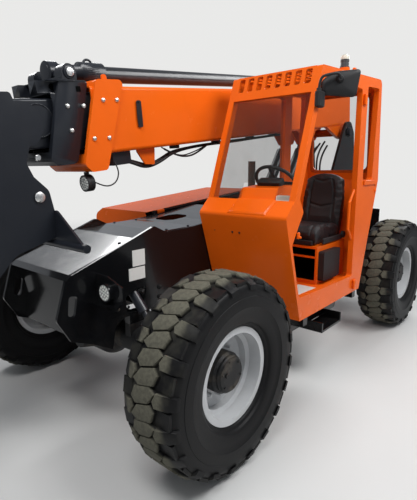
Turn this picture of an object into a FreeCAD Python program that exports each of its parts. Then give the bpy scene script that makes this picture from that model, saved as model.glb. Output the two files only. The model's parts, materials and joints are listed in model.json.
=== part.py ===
"""Telehandler: frame, steered axles, wheels, open cab, engine pod and three-section boom.

The machine is drawn in a working frame in millimetres: X forward with the front axle at 0,
Y to the operator's left, Z up from the ground. Each piece is moved to the part's own frame,
whose origin is on the ground below the middle of the whole machine, as it is written out.
"""
import FreeCAD
import Part
import math
import os

os.makedirs("parts", exist_ok=True)

V = FreeCAD.Vector

# Wheels and tyres
WHEELBASE = 3020.0
TYRE_RADIUS = 572.5
TYRE_SIDES = 20
LUG_COUNT = 40
LUG_ROOT_RADIUS = 498.0
# One lug, a middle block merged with its shoulder block: distance from the tyre's middle plane
# in millimetres and angle about the axle in degrees
LUG_OUTLINE = [(-82.0, -2.8), (-62.0, 2.9), (35.0, 5.0), (187.0, 4.2), (187.0, -4.2), (35.0, -3.2),
               (-50.0, -5.5)]
# Carcass from bead to tread: radius of the flats and distance from the middle plane
CARCASS_OUTLINE = [(254.4, 117.6), (281.5, 117.6), (292.0, 134.0), (420.0, 180.0), (508.0, 172.0),
                   (546.0, 128.0)]
RIM_RADIUS = 254.0
RIM_FLANGE_RADIUS = 280.0
RIM_HALF_WIDTH = 127.0
RIM_WALL = 9.0
WHEEL_Y = 1022.0
DISC_INNER = -24.0
DISC_THICK = 14.0
HUB_RADIUS = 120.0
HUB_FACE = 94.0
HUB_INNER = -26.0
HUB_FLANGE_RADIUS = 165.0
SPINDLE_RADIUS = 55.0
RUNNING_GAP = 0.3

# Axles, knuckles and steering
AXLE_Z = TYRE_RADIUS
KINGPIN_Y = 780.0
KINGPIN_RADIUS = 34.0
YOKE_HALF_HEIGHT = 150.0
YOKE_PLATE = 34.0
YOKE_GAP = 4.0
AXLE_TUBE_RADIUS = 78.0
BOWL_RADIUS = 170.0
KNUCKLE_RADIUS = 96.0
DRUM_RADIUS = 135.0
DRUM_INNER_Y = 880.0
STEER_ARM = 165.0
STEER_ARM_PLATE = 24.0
STEER_CYLINDER_RADIUS = 48.0
STEER_ROD_RADIUS = 22.0
STEER_ROD_HEIGHT = 42.0
STEER_BARREL_HALF = 240.0
PAD_HEIGHT = 128.0

# Chassis
PLATE_Y = 345.0
PLATE_THICK = 20.0
TOWER_Y = 285.0
TOWER_THICK = 30.0
CHASSIS_REAR = -WHEELBASE - 780.0
DECK_THICK = 8.0
SIGN_THICK = 3.0
HEADLAMP_X = 320.0
LOCK_Y = 470.0
LOCK_TOP_Z = 911.0
LOCK_LOW_Z = 690.0
LOCK_PIN_RADIUS = 13.0
TIE_DOWN_X = CHASSIS_REAR + 110.0
TIE_DOWN_Z = 735.0
TIE_DOWN_RADIUS = 25.0
TOW_PIN_X = CHASSIS_REAR + 32.0
TOW_PIN_RADIUS = 16.5
TOW_JAW_Z = 540.0

# Engine pod on the right side
POD_FRONT = -700.0
POD_REAR = -WHEELBASE + 770.0
HOOD_OUTER_Y = 1130.0
TRAY_TOP = 760.0
TRAY_THICK = 30.0
HOOD_LOW = TRAY_TOP + 12.0
HOOD_FRONT_TOP = 1330.0
HOOD_RISE = 0.092
HOOD_HINGE_Y = -PLATE_Y - 26.0
HOOD_HINGE_DROP = 20.0
HINGE_BAR = 12.0

# Boom pivot and boom sections, along the boom's own axis
BOOM_DROP = 6.7
# Point on the boom's line from which its sections are measured, and the pivot further along it
BOOM_LINE_X = -3400.0
BOOM_LINE_Z = 2130.0
PIVOT_X = CHASSIS_REAR + 400.0
PIVOT_ALONG = (PIVOT_X - BOOM_LINE_X) / math.cos(math.radians(BOOM_DROP))
PIVOT_Z = BOOM_LINE_Z - PIVOT_ALONG * math.sin(math.radians(BOOM_DROP))
PIVOT_PIN_RADIUS = 45.0
OUTER_HALF = 200.0
OUTER_LOW = 79.0
OUTER_HIGH = 479.0
OUTER_WALL = 10.0
SECTION_STEP = 32.0
OUTER_REAR = PIVOT_ALONG - 230.0
OUTER_FRONT = 3560.0
MID_REAR = 500.0
MID_FRONT = 3800.0
INNER_REAR = 1000.0
INNER_FRONT = 4250.0
EXTEND_BARREL_RADIUS = 51.0
EXTEND_BORE_RADIUS = 42.0
EXTEND_ROD_RADIUS = 30.0
COLLAR_TOP = OUTER_HIGH + 35.0
EXTEND_GAP = 7.0
EXTEND_HEIGHT = COLLAR_TOP + EXTEND_GAP + EXTEND_BARREL_RADIUS
EXTEND_BARREL_REAR = 1480.0
EXTEND_BARREL_FRONT = 3800.0
EXTEND_ROD_REAR = 820.0

# Lift cylinders
LIFT_Y = 115.0
LIFT_BASE_X = -1900.0
LIFT_BASE_Z = 1000.0
LIFT_EYE_X = -2600.0
LIFT_EYE_Z = 2010.0
LIFT_BARREL_RADIUS = 56.0
LIFT_BORE_RADIUS = 44.0
LIFT_ROD_RADIUS = 34.0
LIFT_EYE_RADIUS = 55.0
LIFT_EYE_WIDTH = 76.0
LIFT_PIN_RADIUS = 28.0
LUG_THICK = 20.0

# Gooseneck head, coupler and tilt cylinder
HEAD_Y = 200.0
HEAD_PLATE = 20.0
COUPLER_PIVOT_X = 1150.0
COUPLER_PIVOT_Z = 760.0
COUPLER_PIN_RADIUS = 32.0
TILT_PIN_X = 560.0
TILT_PIN_Z = 1552.0
TILT_EYE_RADIUS = 210.0
TILT_EYE_ANGLE = 82.0
TILT_BARREL_RADIUS = 55.0
TILT_BORE_RADIUS = 44.0
TILT_ROD_RADIUS = 28.0
TILT_PIN_RADIUS = 30.0
TILT_EYE_WIDTH = 64.0

# Fork carriage
CARRIAGE_X = 1270.0
CARRIAGE_HALF = 470.0
CARRIAGE_LOW = 250.0
CARRIAGE_HIGH = 1060.0
FORK_TIP_X = 2430.0
FORK_THICK = 45.0
FORK_WIDTH = 100.0
FORK_Y = 300.0
FORK_GROUND_GAP = 60.0

# Cab
CAB_INNER_Y = 352.0
CAB_OUTER_Y = 1090.0
CAB_POST = 45.0
CAB_LOW = 640.0
FLOOR_Z = 770.0
CAB_SHEET = 6.0
SCREEN_FOOT = (-700.0, 1490.0)
SCREEN_TOP = (-1010.0, 2375.0)
SCREEN_GLASS_TOP = 2200.0
ROOF_REAR = (-2130.0, 2437.0)
# Outline of a cab side in (x, z), from the low front corner up over the fold and the roof
CAB_SIDE = [(-822, CAB_LOW), (-594, 1388, 30), SCREEN_FOOT, (*SCREEN_TOP, 25), (*ROOF_REAR, 50),
            (-2197, 1591, 40),
            (-1894, CAB_LOW)]
DOOR_HOLE = [(-1038, 2290, 25), (-1715, 2312, 25), (-1715, 790, 20), (-800, 815, 40), (-682, 1202, 40),
             (-822, 1413, 25),
             (-765, 1500, 15)]
FAR_WINDOW = [(-1038, 2290, 25), (-1715, 2312, 25), (-1715, 1460, 60), (-800, 1420, 40), (-765, 1500, 15)]
REAR_SLOT = [(-1830, 1600, 20), (-2040, 1600, 20), (-2080, 2360, 20), (-1830, 2345, 20)]
SLOT_COUNT = 8
SLOT_PITCH = 79.0
SLOT_WIDTH = 50.0
SLOT_FIRST_Y = 445.0
HANDLE_RADIUS = 12.0
BEACON_X = -1440.0
BEACON_Y = 1050.0
BEACON_PAD = 27.0
ROOF_SLOPE = (SCREEN_TOP[1] - ROOF_REAR[1]) / (SCREEN_TOP[0] - ROOF_REAR[0])
BEACON_SEAT_Z = SCREEN_TOP[1] + (BEACON_X - SCREEN_TOP[0]) * ROOF_SLOPE + BEACON_PAD
SEAT_Z = 1080.0
STEERING_RADIUS = 180.0
MIRROR_WIDTH = 204.0

REAR_END = CHASSIS_REAR
FRAME_SHIFT = -(FORK_TIP_X + REAR_END) / 2


def box(x0, x1, y0, y1, z0, z1):
    """A block between two corners."""
    return Part.makeBox(x1 - x0, y1 - y0, z1 - z0, V(x0, y0, z0))


def rod(start, end, radius):
    """A round bar between two points."""
    a, b = V(*start), V(*end)
    return Part.makeCylinder(radius, (b - a).Length, a, b - a)


def pipe(start, end, outer, inner):
    """A round tube between two points."""
    return rod(start, end, outer).cut(rod(start, end, inner))


def cross_rod(x, z, radius, y0, y1):
    """A round bar across the machine."""
    return rod((x, y0, z), (x, y1, z), radius)


def corner_arc(before, corner, after, radius):
    """Tangent points and middle of the arc that rounds one corner of an outline."""
    to_before = (before - corner).normalize()
    to_after = (after - corner).normalize()
    half = math.acos(max(-1.0, min(1.0, to_before.dot(to_after)))) / 2
    reach = radius / math.tan(half)
    start = corner + to_before * reach
    end = corner + to_after * reach
    middle_way = (to_before + to_after).normalize()
    centre = corner + middle_way * (radius / math.sin(half))
    return start, centre - middle_way * radius, end


def outline(points):
    """A closed wire in the XY plane from rows of (a, b) or (a, b, corner radius)."""
    rows = [(V(p[0], p[1], 0), p[2] if len(p) > 2 else 0.0) for p in points]
    edges = []
    first = last = None
    for i, (corner, radius) in enumerate(rows):
        if radius:
            start, middle, end = corner_arc(rows[i - 1][0], corner, rows[(i + 1) % len(rows)][0], radius)
        else:
            start = end = corner
        if last is not None and (start - last).Length > 1e-6:
            edges.append(Part.LineSegment(last, start).toShape())
        if radius:
            edges.append(Part.Arc(start, middle, end).toShape())
        first = start if first is None else first
        last = end
    if (first - last).Length > 1e-6:
        edges.append(Part.LineSegment(last, first).toShape())
    return Part.Wire(edges)


def slab_xz(points, y0, y1):
    """A plate whose outline is given in (x, z), between two values of y."""
    face = Part.Face(outline(points))
    face.rotate(V(0, 0, 0), V(1, 0, 0), 90)
    face.translate(V(0, y0, 0))
    return face.extrude(V(0, y1 - y0, 0))


def slab_yz(points, x0, x1):
    """A plate whose outline is given in (y, z), between two values of x."""
    face = Part.Face(outline(points))
    face.rotate(V(0, 0, 0), V(1, 0, 0), 90)
    face.rotate(V(0, 0, 0), V(0, 0, 1), 90)
    face.translate(V(x0, 0, 0))
    return face.extrude(V(x1 - x0, 0, 0))


def slab_xy(points, z0, z1):
    """A plate whose outline is given in (x, y), between two values of z."""
    face = Part.Face(outline(points))
    face.translate(V(0, 0, z0))
    return face.extrude(V(0, 0, z1 - z0))


def turned(profile, centre):
    """A ring turned about the Y line through centre, from rows of (radius, y)."""
    wire = outline(profile)
    face = Part.Face(wire)
    solid = face.revolve(V(0, 0, 0), V(0, 1, 0), 360)
    solid.translate(V(*centre))
    return solid


def fused(shapes):
    """All shapes as one, with no seams left on flat faces."""
    whole = shapes[0].multiFuse(shapes[1:]) if len(shapes) > 1 else shapes[0]
    return whole.removeSplitter()


def mirrored(shape):
    """The same piece on the other side of the machine."""
    return shape.mirror(V(0, 0, 0), V(0, 1, 0))


def pair(shape):
    """A piece and its twin on the other side."""
    return Part.makeCompound([shape, mirrored(shape)])


def on_boom(shape):
    """A piece drawn level in the boom's own axes, set at the lowered boom's slope."""
    placed = shape.copy()
    placed.translate(V(BOOM_LINE_X, 0, BOOM_LINE_Z))
    placed.rotate(V(BOOM_LINE_X, 0, BOOM_LINE_Z), V(0, 1, 0), BOOM_DROP)
    return placed


def boom_point(along, up):
    """The place in the working frame of a point given along and above the boom's line."""
    drop = math.radians(BOOM_DROP)
    x = BOOM_LINE_X + along * math.cos(drop) + up * math.sin(drop)
    z = BOOM_LINE_Z - along * math.sin(drop) + up * math.cos(drop)
    return x, z


def hollow_section(x0, x1, half, low, high, wall, corner):
    """A straight square tube along the boom with rounded corners."""
    def ring(inset):
        r = corner - inset
        return [(-half + inset, low + inset, r), (half - inset, low + inset, r),
                (half - inset, high - inset, r), (-half + inset, high - inset, r)]
    return slab_yz(ring(0), x0, x1).cut(slab_yz(ring(wall), x0 - 1, x1 + 1))


def save(name, shape):
    """Write one piece in the part's own frame."""
    placed = shape.copy()
    placed.translate(V(FRAME_SHIFT, 0, 0))
    placed.exportStep("parts/" + name + ".step")


# Wheels

def tyre():
    """Carcass of flat staves with forty lugs, left and right turned end for end in turn."""
    whole = tyre_carcass()
    step = 360.0 / LUG_COUNT
    lugs = []
    for i in range(LUG_COUNT):
        one = tyre_lug(-1 if i % 2 == 0 else 1)
        one.rotate(V(0, 0, 0), V(0, 1, 0), -i * step)
        lugs.append(one)
    return whole.multiFuse(lugs)


def tyre_carcass():
    """Ring of flat staves from bead to bead."""
    ring = [(r, -y) for r, y in CARCASS_OUTLINE] + list(reversed(CARCASS_OUTLINE))
    stretch = 1 / math.cos(math.pi / TYRE_SIDES)
    middle = 180.0 / LUG_COUNT

    def corner(row, k):
        a = math.radians(middle + (k - 0.5) * 360.0 / TYRE_SIDES)
        r = row[0] * stretch
        return V(r * math.cos(a), row[1], r * math.sin(a))

    faces = []
    for k in range(TYRE_SIDES):
        for i, row in enumerate(ring):
            after = ring[(i + 1) % len(ring)]
            quad = [corner(row, k), corner(after, k), corner(after, k + 1), corner(row, k + 1)]
            faces.append(Part.Face(Part.makePolygon(quad + quad[:1])))
    solid = Part.Solid(Part.Shell(faces))
    if solid.Volume < 0:
        solid.reverse()
    return solid


def tyre_lug(turn):
    """One lug standing at the tyre's front, with its chamfered shoulder; turn is 1 or -1."""
    tip = TYRE_RADIUS * math.cos(math.radians(5.4))
    rows = [V(LUG_ROOT_RADIUS, turn * y, turn * TYRE_RADIUS * math.tan(math.radians(a))) for y,
            a in LUG_OUTLINE]
    block = Part.Face(Part.makePolygon(rows + rows[:1])).extrude(V(tip - LUG_ROOT_RADIUS, 0, 0))
    side = [(LUG_ROOT_RADIUS - 1, -100), (tip + 1, -100), (tip + 1, 140), (545, 187), (520, 187),
            (LUG_ROOT_RADIUS - 1, 175)]
    profile = slab_xy([(r, turn * y) for r, y in side], -90, 90)
    return block.common(profile)


def rim():
    """Rolled rim with both flanges, a drop centre and the wheel disc."""
    r, w, t = RIM_RADIUS, RIM_HALF_WIDTH, RIM_WALL
    barrel = turned([
        (r - t, -w), (RIM_FLANGE_RADIUS, -w), (RIM_FLANGE_RADIUS, -w + t), (r, -w + t), (r, -52),
        (r - 26, -40),
        (r - 26, 30), (r, 42), (r, w - t), (RIM_FLANGE_RADIUS, w - t), (RIM_FLANGE_RADIUS, w),
        (r - t, w), (r - t, 46), (r - 26 - t, 34), (r - 26 - t, -44), (r - t, -56)], (0, 0, 0))
    disc = turned([(HUB_RADIUS - 20, DISC_INNER), (r - 30, DISC_INNER), (r - 30, DISC_INNER + DISC_THICK),
                   (HUB_RADIUS - 20, DISC_INNER + DISC_THICK)], (0, 0, 0))
    return barrel.fuse(disc)


def hub():
    """Planetary hub: flange behind the disc, body through it and the stepped cap."""
    face = HUB_FACE
    return turned([
        (SPINDLE_RADIUS + RUNNING_GAP, HUB_INNER - 44), (150, HUB_INNER - 44),
        (HUB_FLANGE_RADIUS, HUB_INNER - 30), (HUB_FLANGE_RADIUS, DISC_INNER),
        (HUB_RADIUS - 20, DISC_INNER), (HUB_RADIUS - 20, DISC_INNER + DISC_THICK),
        (HUB_RADIUS, DISC_INNER + DISC_THICK), (HUB_RADIUS, face - 34), (HUB_RADIUS - 12, face - 22),
        (HUB_RADIUS - 12, face - 8), (HUB_RADIUS - 20, face), (0, face), (0, HUB_INNER + 20),
        (SPINDLE_RADIUS + RUNNING_GAP, HUB_INNER + 20)], (0, 0, 0))


def knuckle():
    """Left knuckle: kingpin barrel, steering arm, brake drum and spindle, about the kingpin."""
    z = AXLE_Z
    half = YOKE_HALF_HEIGHT - YOKE_PLATE - YOKE_GAP
    wheel = WHEEL_Y - KINGPIN_Y
    drum = DRUM_INNER_Y - KINGPIN_Y
    inner_face = wheel + HUB_INNER - 44 - 5
    barrel = rod((0, 0, z - half), (0, 0, z + half), KNUCKLE_RADIUS * 0.62)
    pins = rod((0, 0, z - YOKE_HALF_HEIGHT - 14), (0, 0, z + YOKE_HALF_HEIGHT + 14), KINGPIN_RADIUS)
    neck = turned([(0, 0), (KNUCKLE_RADIUS, 0), (KNUCKLE_RADIUS, drum), (DRUM_RADIUS, drum),
                   (DRUM_RADIUS, inner_face), (SPINDLE_RADIUS, inner_face),
                   (SPINDLE_RADIUS, wheel + HUB_INNER + 16), (0, wheel + HUB_INNER + 16)], (0, 0, z))
    arm = slab_xy([(-STEER_ARM - 34, -34, 20), (-STEER_ARM - 34, 34, 20), (0, 50), (0, -40)],
                  z - 20, z - 20 + STEER_ARM_PLATE)
    ball = rod((-STEER_ARM, 0, z - 20), (-STEER_ARM, 0, z + 26), 22)
    return fused([barrel, pins, neck, arm, ball])


def lock_ears():
    """Two ears on the left axle tube that hold the lower pin of an axle lock."""
    hole = rod((-80, LOCK_Y, LOCK_LOW_Z), (80, LOCK_Y, LOCK_LOW_Z), LOCK_PIN_RADIUS + RUNNING_GAP)
    return [box(x, x + 32, LOCK_Y - 20, LOCK_Y + 20, AXLE_Z, LOCK_LOW_Z + 24).cut(hole) for x in (-56, 24)]


def axle(locked):
    """Axle housing about its own middle: bowl, tubes, yokes, steering barrel and spring pads."""
    z = AXLE_Z
    bowl = turned([(0, -190), (90, -190, 20), (BOWL_RADIUS, -90, 50), (BOWL_RADIUS, 90, 50), (90, 190, 20),
                   (0, 190)], (0, 0, z))
    nose = Part.makeCone(105, 70, 150, V(BOWL_RADIUS - 60, 0, z), V(1, 0, 0))
    parts = [bowl, nose]
    yoke_in = KINGPIN_Y - 150
    for side in (1, -1):
        tube = Part.makeCone(AXLE_TUBE_RADIUS + 22, AXLE_TUBE_RADIUS, yoke_in - 150, V(0, side * 150, z),
                             V(0, side, 0))
        pad = box(-85, 85, side * 318 - 27, side * 318 + 27, z + 40, z + PAD_HEIGHT)
        web = slab_yz([(side * yoke_in, z - YOKE_HALF_HEIGHT), (side * (yoke_in + 46), z - YOKE_HALF_HEIGHT),
                       (side * (yoke_in + 46), z + YOKE_HALF_HEIGHT), (side * yoke_in, z + YOKE_HALF_HEIGHT)],
                       -84, 84)
        parts += [tube, pad, web]
        for low in (z - YOKE_HALF_HEIGHT, z + YOKE_HALF_HEIGHT - YOKE_PLATE):
            near, far = side * yoke_in, side * (KINGPIN_Y + 62)
            plate = slab_xy([(-84, near), (84, near), (62, far, 50), (-62, far, 50)], low, low + YOKE_PLATE)
            eye = rod((0, side * KINGPIN_Y, low - 1), (0, side * KINGPIN_Y, low + YOKE_PLATE + 1),
                      KINGPIN_RADIUS + RUNNING_GAP)
            parts.append(plate.cut(eye))
    height = z + STEER_ROD_HEIGHT
    half = STEER_BARREL_HALF
    barrel = rod((-STEER_ARM, -half, height), (-STEER_ARM, half, height), STEER_CYLINDER_RADIUS)
    saddles = [box(-STEER_ARM, -60, y - 20, y + 20, height - 22, height + 20) for y in (-170, 170)]
    bore = rod((-STEER_ARM, -half - 1, height), (-STEER_ARM, half + 1, height),
               STEER_ROD_RADIUS + RUNNING_GAP)
    if locked:
        ears = lock_ears()
        parts += ears + [mirrored(ear) for ear in ears]
    return fused(parts + [barrel] + saddles).cut(bore)


def steer_rod():
    """Through rod of the steering cylinder with its two end eyes, about the axle's middle."""
    z = AXLE_Z + STEER_ROD_HEIGHT
    reach = KINGPIN_Y - 30
    bar = rod((-STEER_ARM, -reach, z), (-STEER_ARM, reach, z), STEER_ROD_RADIUS)
    eyes = []
    for side in (1, -1):
        y = side * KINGPIN_Y
        eyes.append(rod((-STEER_ARM, y, z - 12), (-STEER_ARM, y, z + 12), 34))
    return fused([bar] + eyes)


def moved(shape, x, y, z):
    """A copy shifted by the given amounts."""
    placed = shape.copy()
    placed.translate(V(x, y, z))
    return placed


def wheel_sets():
    """Four wheels, four knuckles and the two axles with their steering rods."""
    places = [("fl", 0.0, 1), ("fr", 0.0, -1), ("rl", -WHEELBASE, 1), ("rr", -WHEELBASE, -1)]
    wheel_pieces = [("tyre", tyre()), ("rim", rim()), ("hub", hub())]
    left_knuckle = knuckle()
    for tag, x, side in places:
        for name, piece in wheel_pieces:
            placed = moved(piece, x, WHEEL_Y, AXLE_Z)
            save(name + "_" + tag, placed if side > 0 else mirrored(placed))
        placed = moved(left_knuckle, x, KINGPIN_Y, 0)
        save("knuckle_" + tag, placed if side > 0 else mirrored(placed))
    for tag, x in (("front", 0.0), ("rear", -WHEELBASE)):
        save("axle_" + tag, moved(axle(tag == "front"), x, 0, 0))
        save("steer_rod_" + tag, moved(steer_rod(), x, 0, 0))


# Chassis

def side_plate():
    """Left side plate with the slotted nose, the ear at the deck and the arches over both axles."""
    axle = -WHEELBASE
    plate = slab_xz([
        (482, 1110, 20), (524, 1085, 15), (594, 865, 30), (512, 718, 30), (370, 659), (228, 575),
        (190, 760, 60),
        (-190, 760, 60), (-330, 560), (axle + 460, 520), (axle + 220, 760, 60), (axle - 180, 760, 60),
        (axle - 310, 620), (CHASSIS_REAR + 40, 640, 40), (CHASSIS_REAR + 40, 1180, 60),
        (PIVOT_X + 500, 1180, 80),
        (PIVOT_X + 900, 1000, 80), (-1500, 1000, 60), (-1290, 1361, 40), (-553, 1286), (-263, 1273, 30),
        (-150, 1328, 40), (20, 1268)],
        PLATE_Y - PLATE_THICK, PLATE_Y)
    nose_slot = slab_xz([(510, 994, 18), (454, 981, 18), (480, 856, 18), (523, 878, 18)], 0, 500)
    lock_hole = slab_xz([(20, 928, 15), (-66, 930, 15), (-50, 772, 15), (105, 786, 15), (110, 892, 15)], 0,
                        500)
    tie_down = cross_rod(TIE_DOWN_X, TIE_DOWN_Z, TIE_DOWN_RADIUS, 0, 500)
    return plate.cut(nose_slot).cut(lock_hole).cut(tie_down)


def tower():
    """Left boom tower with the pivot's bore."""
    x, z = PIVOT_X, PIVOT_Z
    plate = slab_xz([(x + 640, 900), (x - 300, 900), (x - 300, 1250, 80), (x - 160, z, 60),
                     (x - 60, z + 120, 90),
                     (x + 70, z + 120, 90), (x + 150, z, 60), (x + 640, 1180, 60)], TOWER_Y - TOWER_THICK,
                     TOWER_Y)
    return plate.cut(cross_rod(PIVOT_X, PIVOT_Z, PIVOT_PIN_RADIUS + RUNNING_GAP, 0, 500))


def lift_base_lugs():
    """Ears on the cross bearer that hold the lift cylinders' lower pins, left pair with its pin."""
    top = LIFT_BASE_Z + 58
    lug_in = LIFT_Y + LIFT_EYE_WIDTH / 2 + RUNNING_GAP
    outer = slab_xz([(LIFT_BASE_X - 130, 860), (LIFT_BASE_X + 130, 860), (LIFT_BASE_X + 58, top, 50),
                     (LIFT_BASE_X - 58, top, 50)], lug_in, lug_in + LUG_THICK)
    inner = moved(outer, 0, -LIFT_EYE_WIDTH - LUG_THICK - 2 * RUNNING_GAP, 0)
    pin = cross_rod(LIFT_BASE_X, LIFT_BASE_Z, LIFT_PIN_RADIUS, lug_in - LIFT_EYE_WIDTH - 26, lug_in + 26)
    return [outer, inner, pin]


def tow_jaw():
    """Two jaw plates below the rear cross plate with the bore of the tow pin."""
    plates = [box(CHASSIS_REAR + 5, CHASSIS_REAR + 60, -60, 60, z, z + 20) for z in (TOW_JAW_Z,
                                                                                     TOW_JAW_Z + 80)]
    back = box(CHASSIS_REAR + 60, CHASSIS_REAR + 90, -60, 60, TOW_JAW_Z, 700)
    jaw = fused(plates + [back])
    return jaw.cut(rod((TOW_PIN_X, 0, TOW_JAW_Z - 1), (TOW_PIN_X, 0, TOW_JAW_Z + 101), TOW_PIN_RADIUS))


def chassis_frame():
    """Two side plates tied by cross plates, with the boom towers at the rear."""
    inner = PLATE_Y - PLATE_THICK
    # Cross plates: x from and to, z from and to
    cross_plates = [(430, 450, 700, 1090), (-430, -410, 600, 1250), (-1560, -1530, 540, 990),
                    (520 - WHEELBASE, 550 - WHEELBASE, 540, 980), (PIVOT_X + 70, PIVOT_X + 100, 780, 1170),
                    (PIVOT_X + 600, PIVOT_X + 630, 900, 1120), (PIVOT_X - 290, PIVOT_X - 240, 900, 1160),
                    (LIFT_BASE_X - 130, LIFT_BASE_X + 110, 840, 866)]
    parts = [box(x0, x1, -inner, inner, z0, z1) for x0, x1, z0, z1 in cross_plates]
    parts.append(box(CHASSIS_REAR + 40, CHASSIS_REAR + 70, -inner, inner, 660, 1170))
    parts.append(box(PIVOT_X - 270, PIVOT_X - 230, -TOWER_Y + 5, TOWER_Y - 5, 1140, 1500))
    left = [side_plate(), tower()] + lift_base_lugs()
    for x in (0.0, -WHEELBASE):
        left.append(box(x - 85, x + 85, 291, PLATE_Y, AXLE_Z + PAD_HEIGHT, AXLE_Z + PAD_HEIGHT + 80))
    parts += left + [mirrored(shape) for shape in left]
    for x in (-915.0, -1800.0):
        parts.append(box(x - 30, x + 30, PLATE_Y - 5, CAB_OUTER_Y - 5, 580, CAB_LOW))
    parts.append(tow_jaw())
    return fused(parts)


def front_deck():
    """Sloping deck plate between the side plates, from the nose to the cab, with its access hole."""
    t, inner = DECK_THICK, PLATE_Y - PLATE_THICK
    top = [(490, 1113), (20, 1265), (-230, 1281), (-553, 1286), (-778, 1302), (-1280, 1362)]
    plate = slab_xz(top + [(x, z - t) for x, z in reversed(top)], -inner, inner)
    hole = slab_xy([(-870, -160), (-820, -210), (-670, -210), (-620, -160), (-620, -50), (-670, 0), (-820, 0),
                    (-870, -50)], 1200, 1400)
    nose = slab_xz([(490, 1113), (490, 1113 - t), (516, 1082), (522, 1084)], -inner, inner)
    return fused([plate.cut(hole), nose])


def axle_locks():
    """Short cylinders from hangers inside the side plates, through their holes, down to the front axle."""
    top, low = V(20, 290, LOCK_TOP_Z), V(0, LOCK_Y, LOCK_LOW_Z)
    joint = top + (low - top).normalize() * 170
    head = rod((-2, 290, LOCK_TOP_Z), (42, 290, LOCK_TOP_Z), 34)
    hanger = box(-2, 42, 278, PLATE_Y - PLATE_THICK, LOCK_TOP_Z, LOCK_TOP_Z + 100)
    eye = rod((-20, LOCK_Y, LOCK_LOW_Z), (20, LOCK_Y, LOCK_LOW_Z), 26)
    pin = rod((-62, LOCK_Y, LOCK_LOW_Z), (62, LOCK_Y, LOCK_LOW_Z), LOCK_PIN_RADIUS)
    return pair(fused([rod(tuple(top), tuple(joint), 34), rod(tuple(joint), tuple(low), 20), head, hanger,
                       eye, pin]))


def hood_top(x):
    """Height of the hood's top along the machine."""
    return HOOD_FRONT_TOP + (POD_FRONT - x) * HOOD_RISE


def hinge_point(x):
    """A point on the hood's hinge line."""
    return (x, HOOD_HINGE_Y, hood_top(x) - HOOD_HINGE_DROP)


def hood_prism(points, x0, x1):
    """A prism that climbs to the rear with the hood; its outline is given at the pod's front end."""
    prism = Part.Face(outline([(p[0], p[1]) + tuple(p[2:]) for p in points]))
    prism.rotate(V(0, 0, 0), V(1, 0, 0), 90)
    prism.rotate(V(0, 0, 0), V(0, 0, 1), 90)
    prism.translate(V(x1, 0, (POD_FRONT - x1) * HOOD_RISE))
    return prism.extrude(V(x0 - x1, 0, (x1 - x0) * HOOD_RISE))


def engine_hood():
    """Engine pod's sheet hood on the right side, hinged along its inner top edge."""
    t, low, top, far = CAB_SHEET, HOOD_LOW - 400, HOOD_FRONT_TOP, -HOOD_OUTER_Y
    side = [(far, low), (far, top - 60, 70), (far + 110, top), (HOOD_HINGE_Y, top), (HOOD_HINGE_Y, low)]
    inside = [(far + t, low - 1), (far + t, top - 60, 70), (far + 110, top - t), (HOOD_HINGE_Y + 1, top - t),
              (HOOD_HINGE_Y + 1, low - 1)]
    shell = hood_prism(side, POD_REAR, POD_FRONT).cut(hood_prism(inside, POD_REAR + t, POD_FRONT - t))
    shell = shell.cut(box(POD_REAR - 10, POD_FRONT + 10, far - 10, HOOD_HINGE_Y + 10, 0, HOOD_LOW))
    sleeves = [pipe(hinge_point(x), hinge_point(x + 80), 20, HINGE_BAR + RUNNING_GAP)
               for x in (POD_REAR + 120, POD_FRONT - 200)]
    bar = rod(hinge_point(POD_REAR - 1), hinge_point(POD_FRONT + 1), HINGE_BAR + 4)
    return fused([shell.cut(bar)] + sleeves)


def engine_tray():
    """Bearer below the engine, bolted to the right side plate, with the posts of the hood's hinge bar."""
    front = POD_FRONT - 30
    bearer = box(POD_REAR, front, -HOOD_OUTER_Y + 10, -PLATE_Y, TRAY_TOP - TRAY_THICK, TRAY_TOP)
    seats = (POD_REAR + 60, POD_FRONT - 100)
    posts = []
    for x in seats:
        z = hinge_point(x + 40)[2]
        posts.append(box(x, x + 40, HOOD_HINGE_Y + 8, -PLATE_Y, TRAY_TOP, z))
        posts.append(box(x, x + 40, HOOD_HINGE_Y - 10, HOOD_HINGE_Y + 8, z - 14, z))
    bar = rod(hinge_point(POD_REAR + 60), hinge_point(POD_FRONT - 60), HINGE_BAR)
    return fused([bearer, bar] + posts)


def engine_block():
    """The engine as one plain mass on its bearer."""
    return box(POD_REAR + 120, POD_FRONT - 220, -1000, -520, TRAY_TOP, TRAY_TOP + 570)


def fuel_tank():
    """Tank below the cab floor, beside the side plate, with the step below the door."""
    tank = slab_xz([(-950, 440, 50), (-950, 578, 20), (-1850, 578, 20), (-1850, 440, 50)], PLATE_Y, 900)
    tread = box(-1560, -1240, 900, 1075, 420, 436)
    stays = [box(x, x + 16, 880, 1075, 420, 500) for x in (-1576, -1240)]
    return fused([tank, tread] + stays)


def counterweight():
    """Cast rear weight behind the rear axle."""
    return slab_xy([(CHASSIS_REAR + 40, -600), (CHASSIS_REAR + 40, 600), (CHASSIS_REAR, 560),
                    (CHASSIS_REAR, -560)],
                   660, 1180)


def headlamps():
    """Round lamps in octagonal brackets on both side plates, each over its small ledge."""
    x, y, z = HEADLAMP_X, 460, 1000
    bracket = slab_yz([(PLATE_Y, 1093), (452, 1091), (590, 1046), (593, 969), (515, 887), (PLATE_Y, 892)],
                      x - 10, x)
    shell = rod((x - 42, y, z), (x + 26, y, z), 58)
    ring = pipe((x + 26, y, z), (x + 34, y, z), 58, 50)
    ledge = box(x, x + 40, y - 45, y + 45, 925, 931)
    return pair(fused([bracket, shell, ring, ledge]))


def tail_lamps():
    """Rear lamps on the frame's rear end."""
    return pair(box(CHASSIS_REAR + 44, CHASSIS_REAR + 80, PLATE_Y, PLATE_Y + 130, 1000, 1070))


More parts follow.
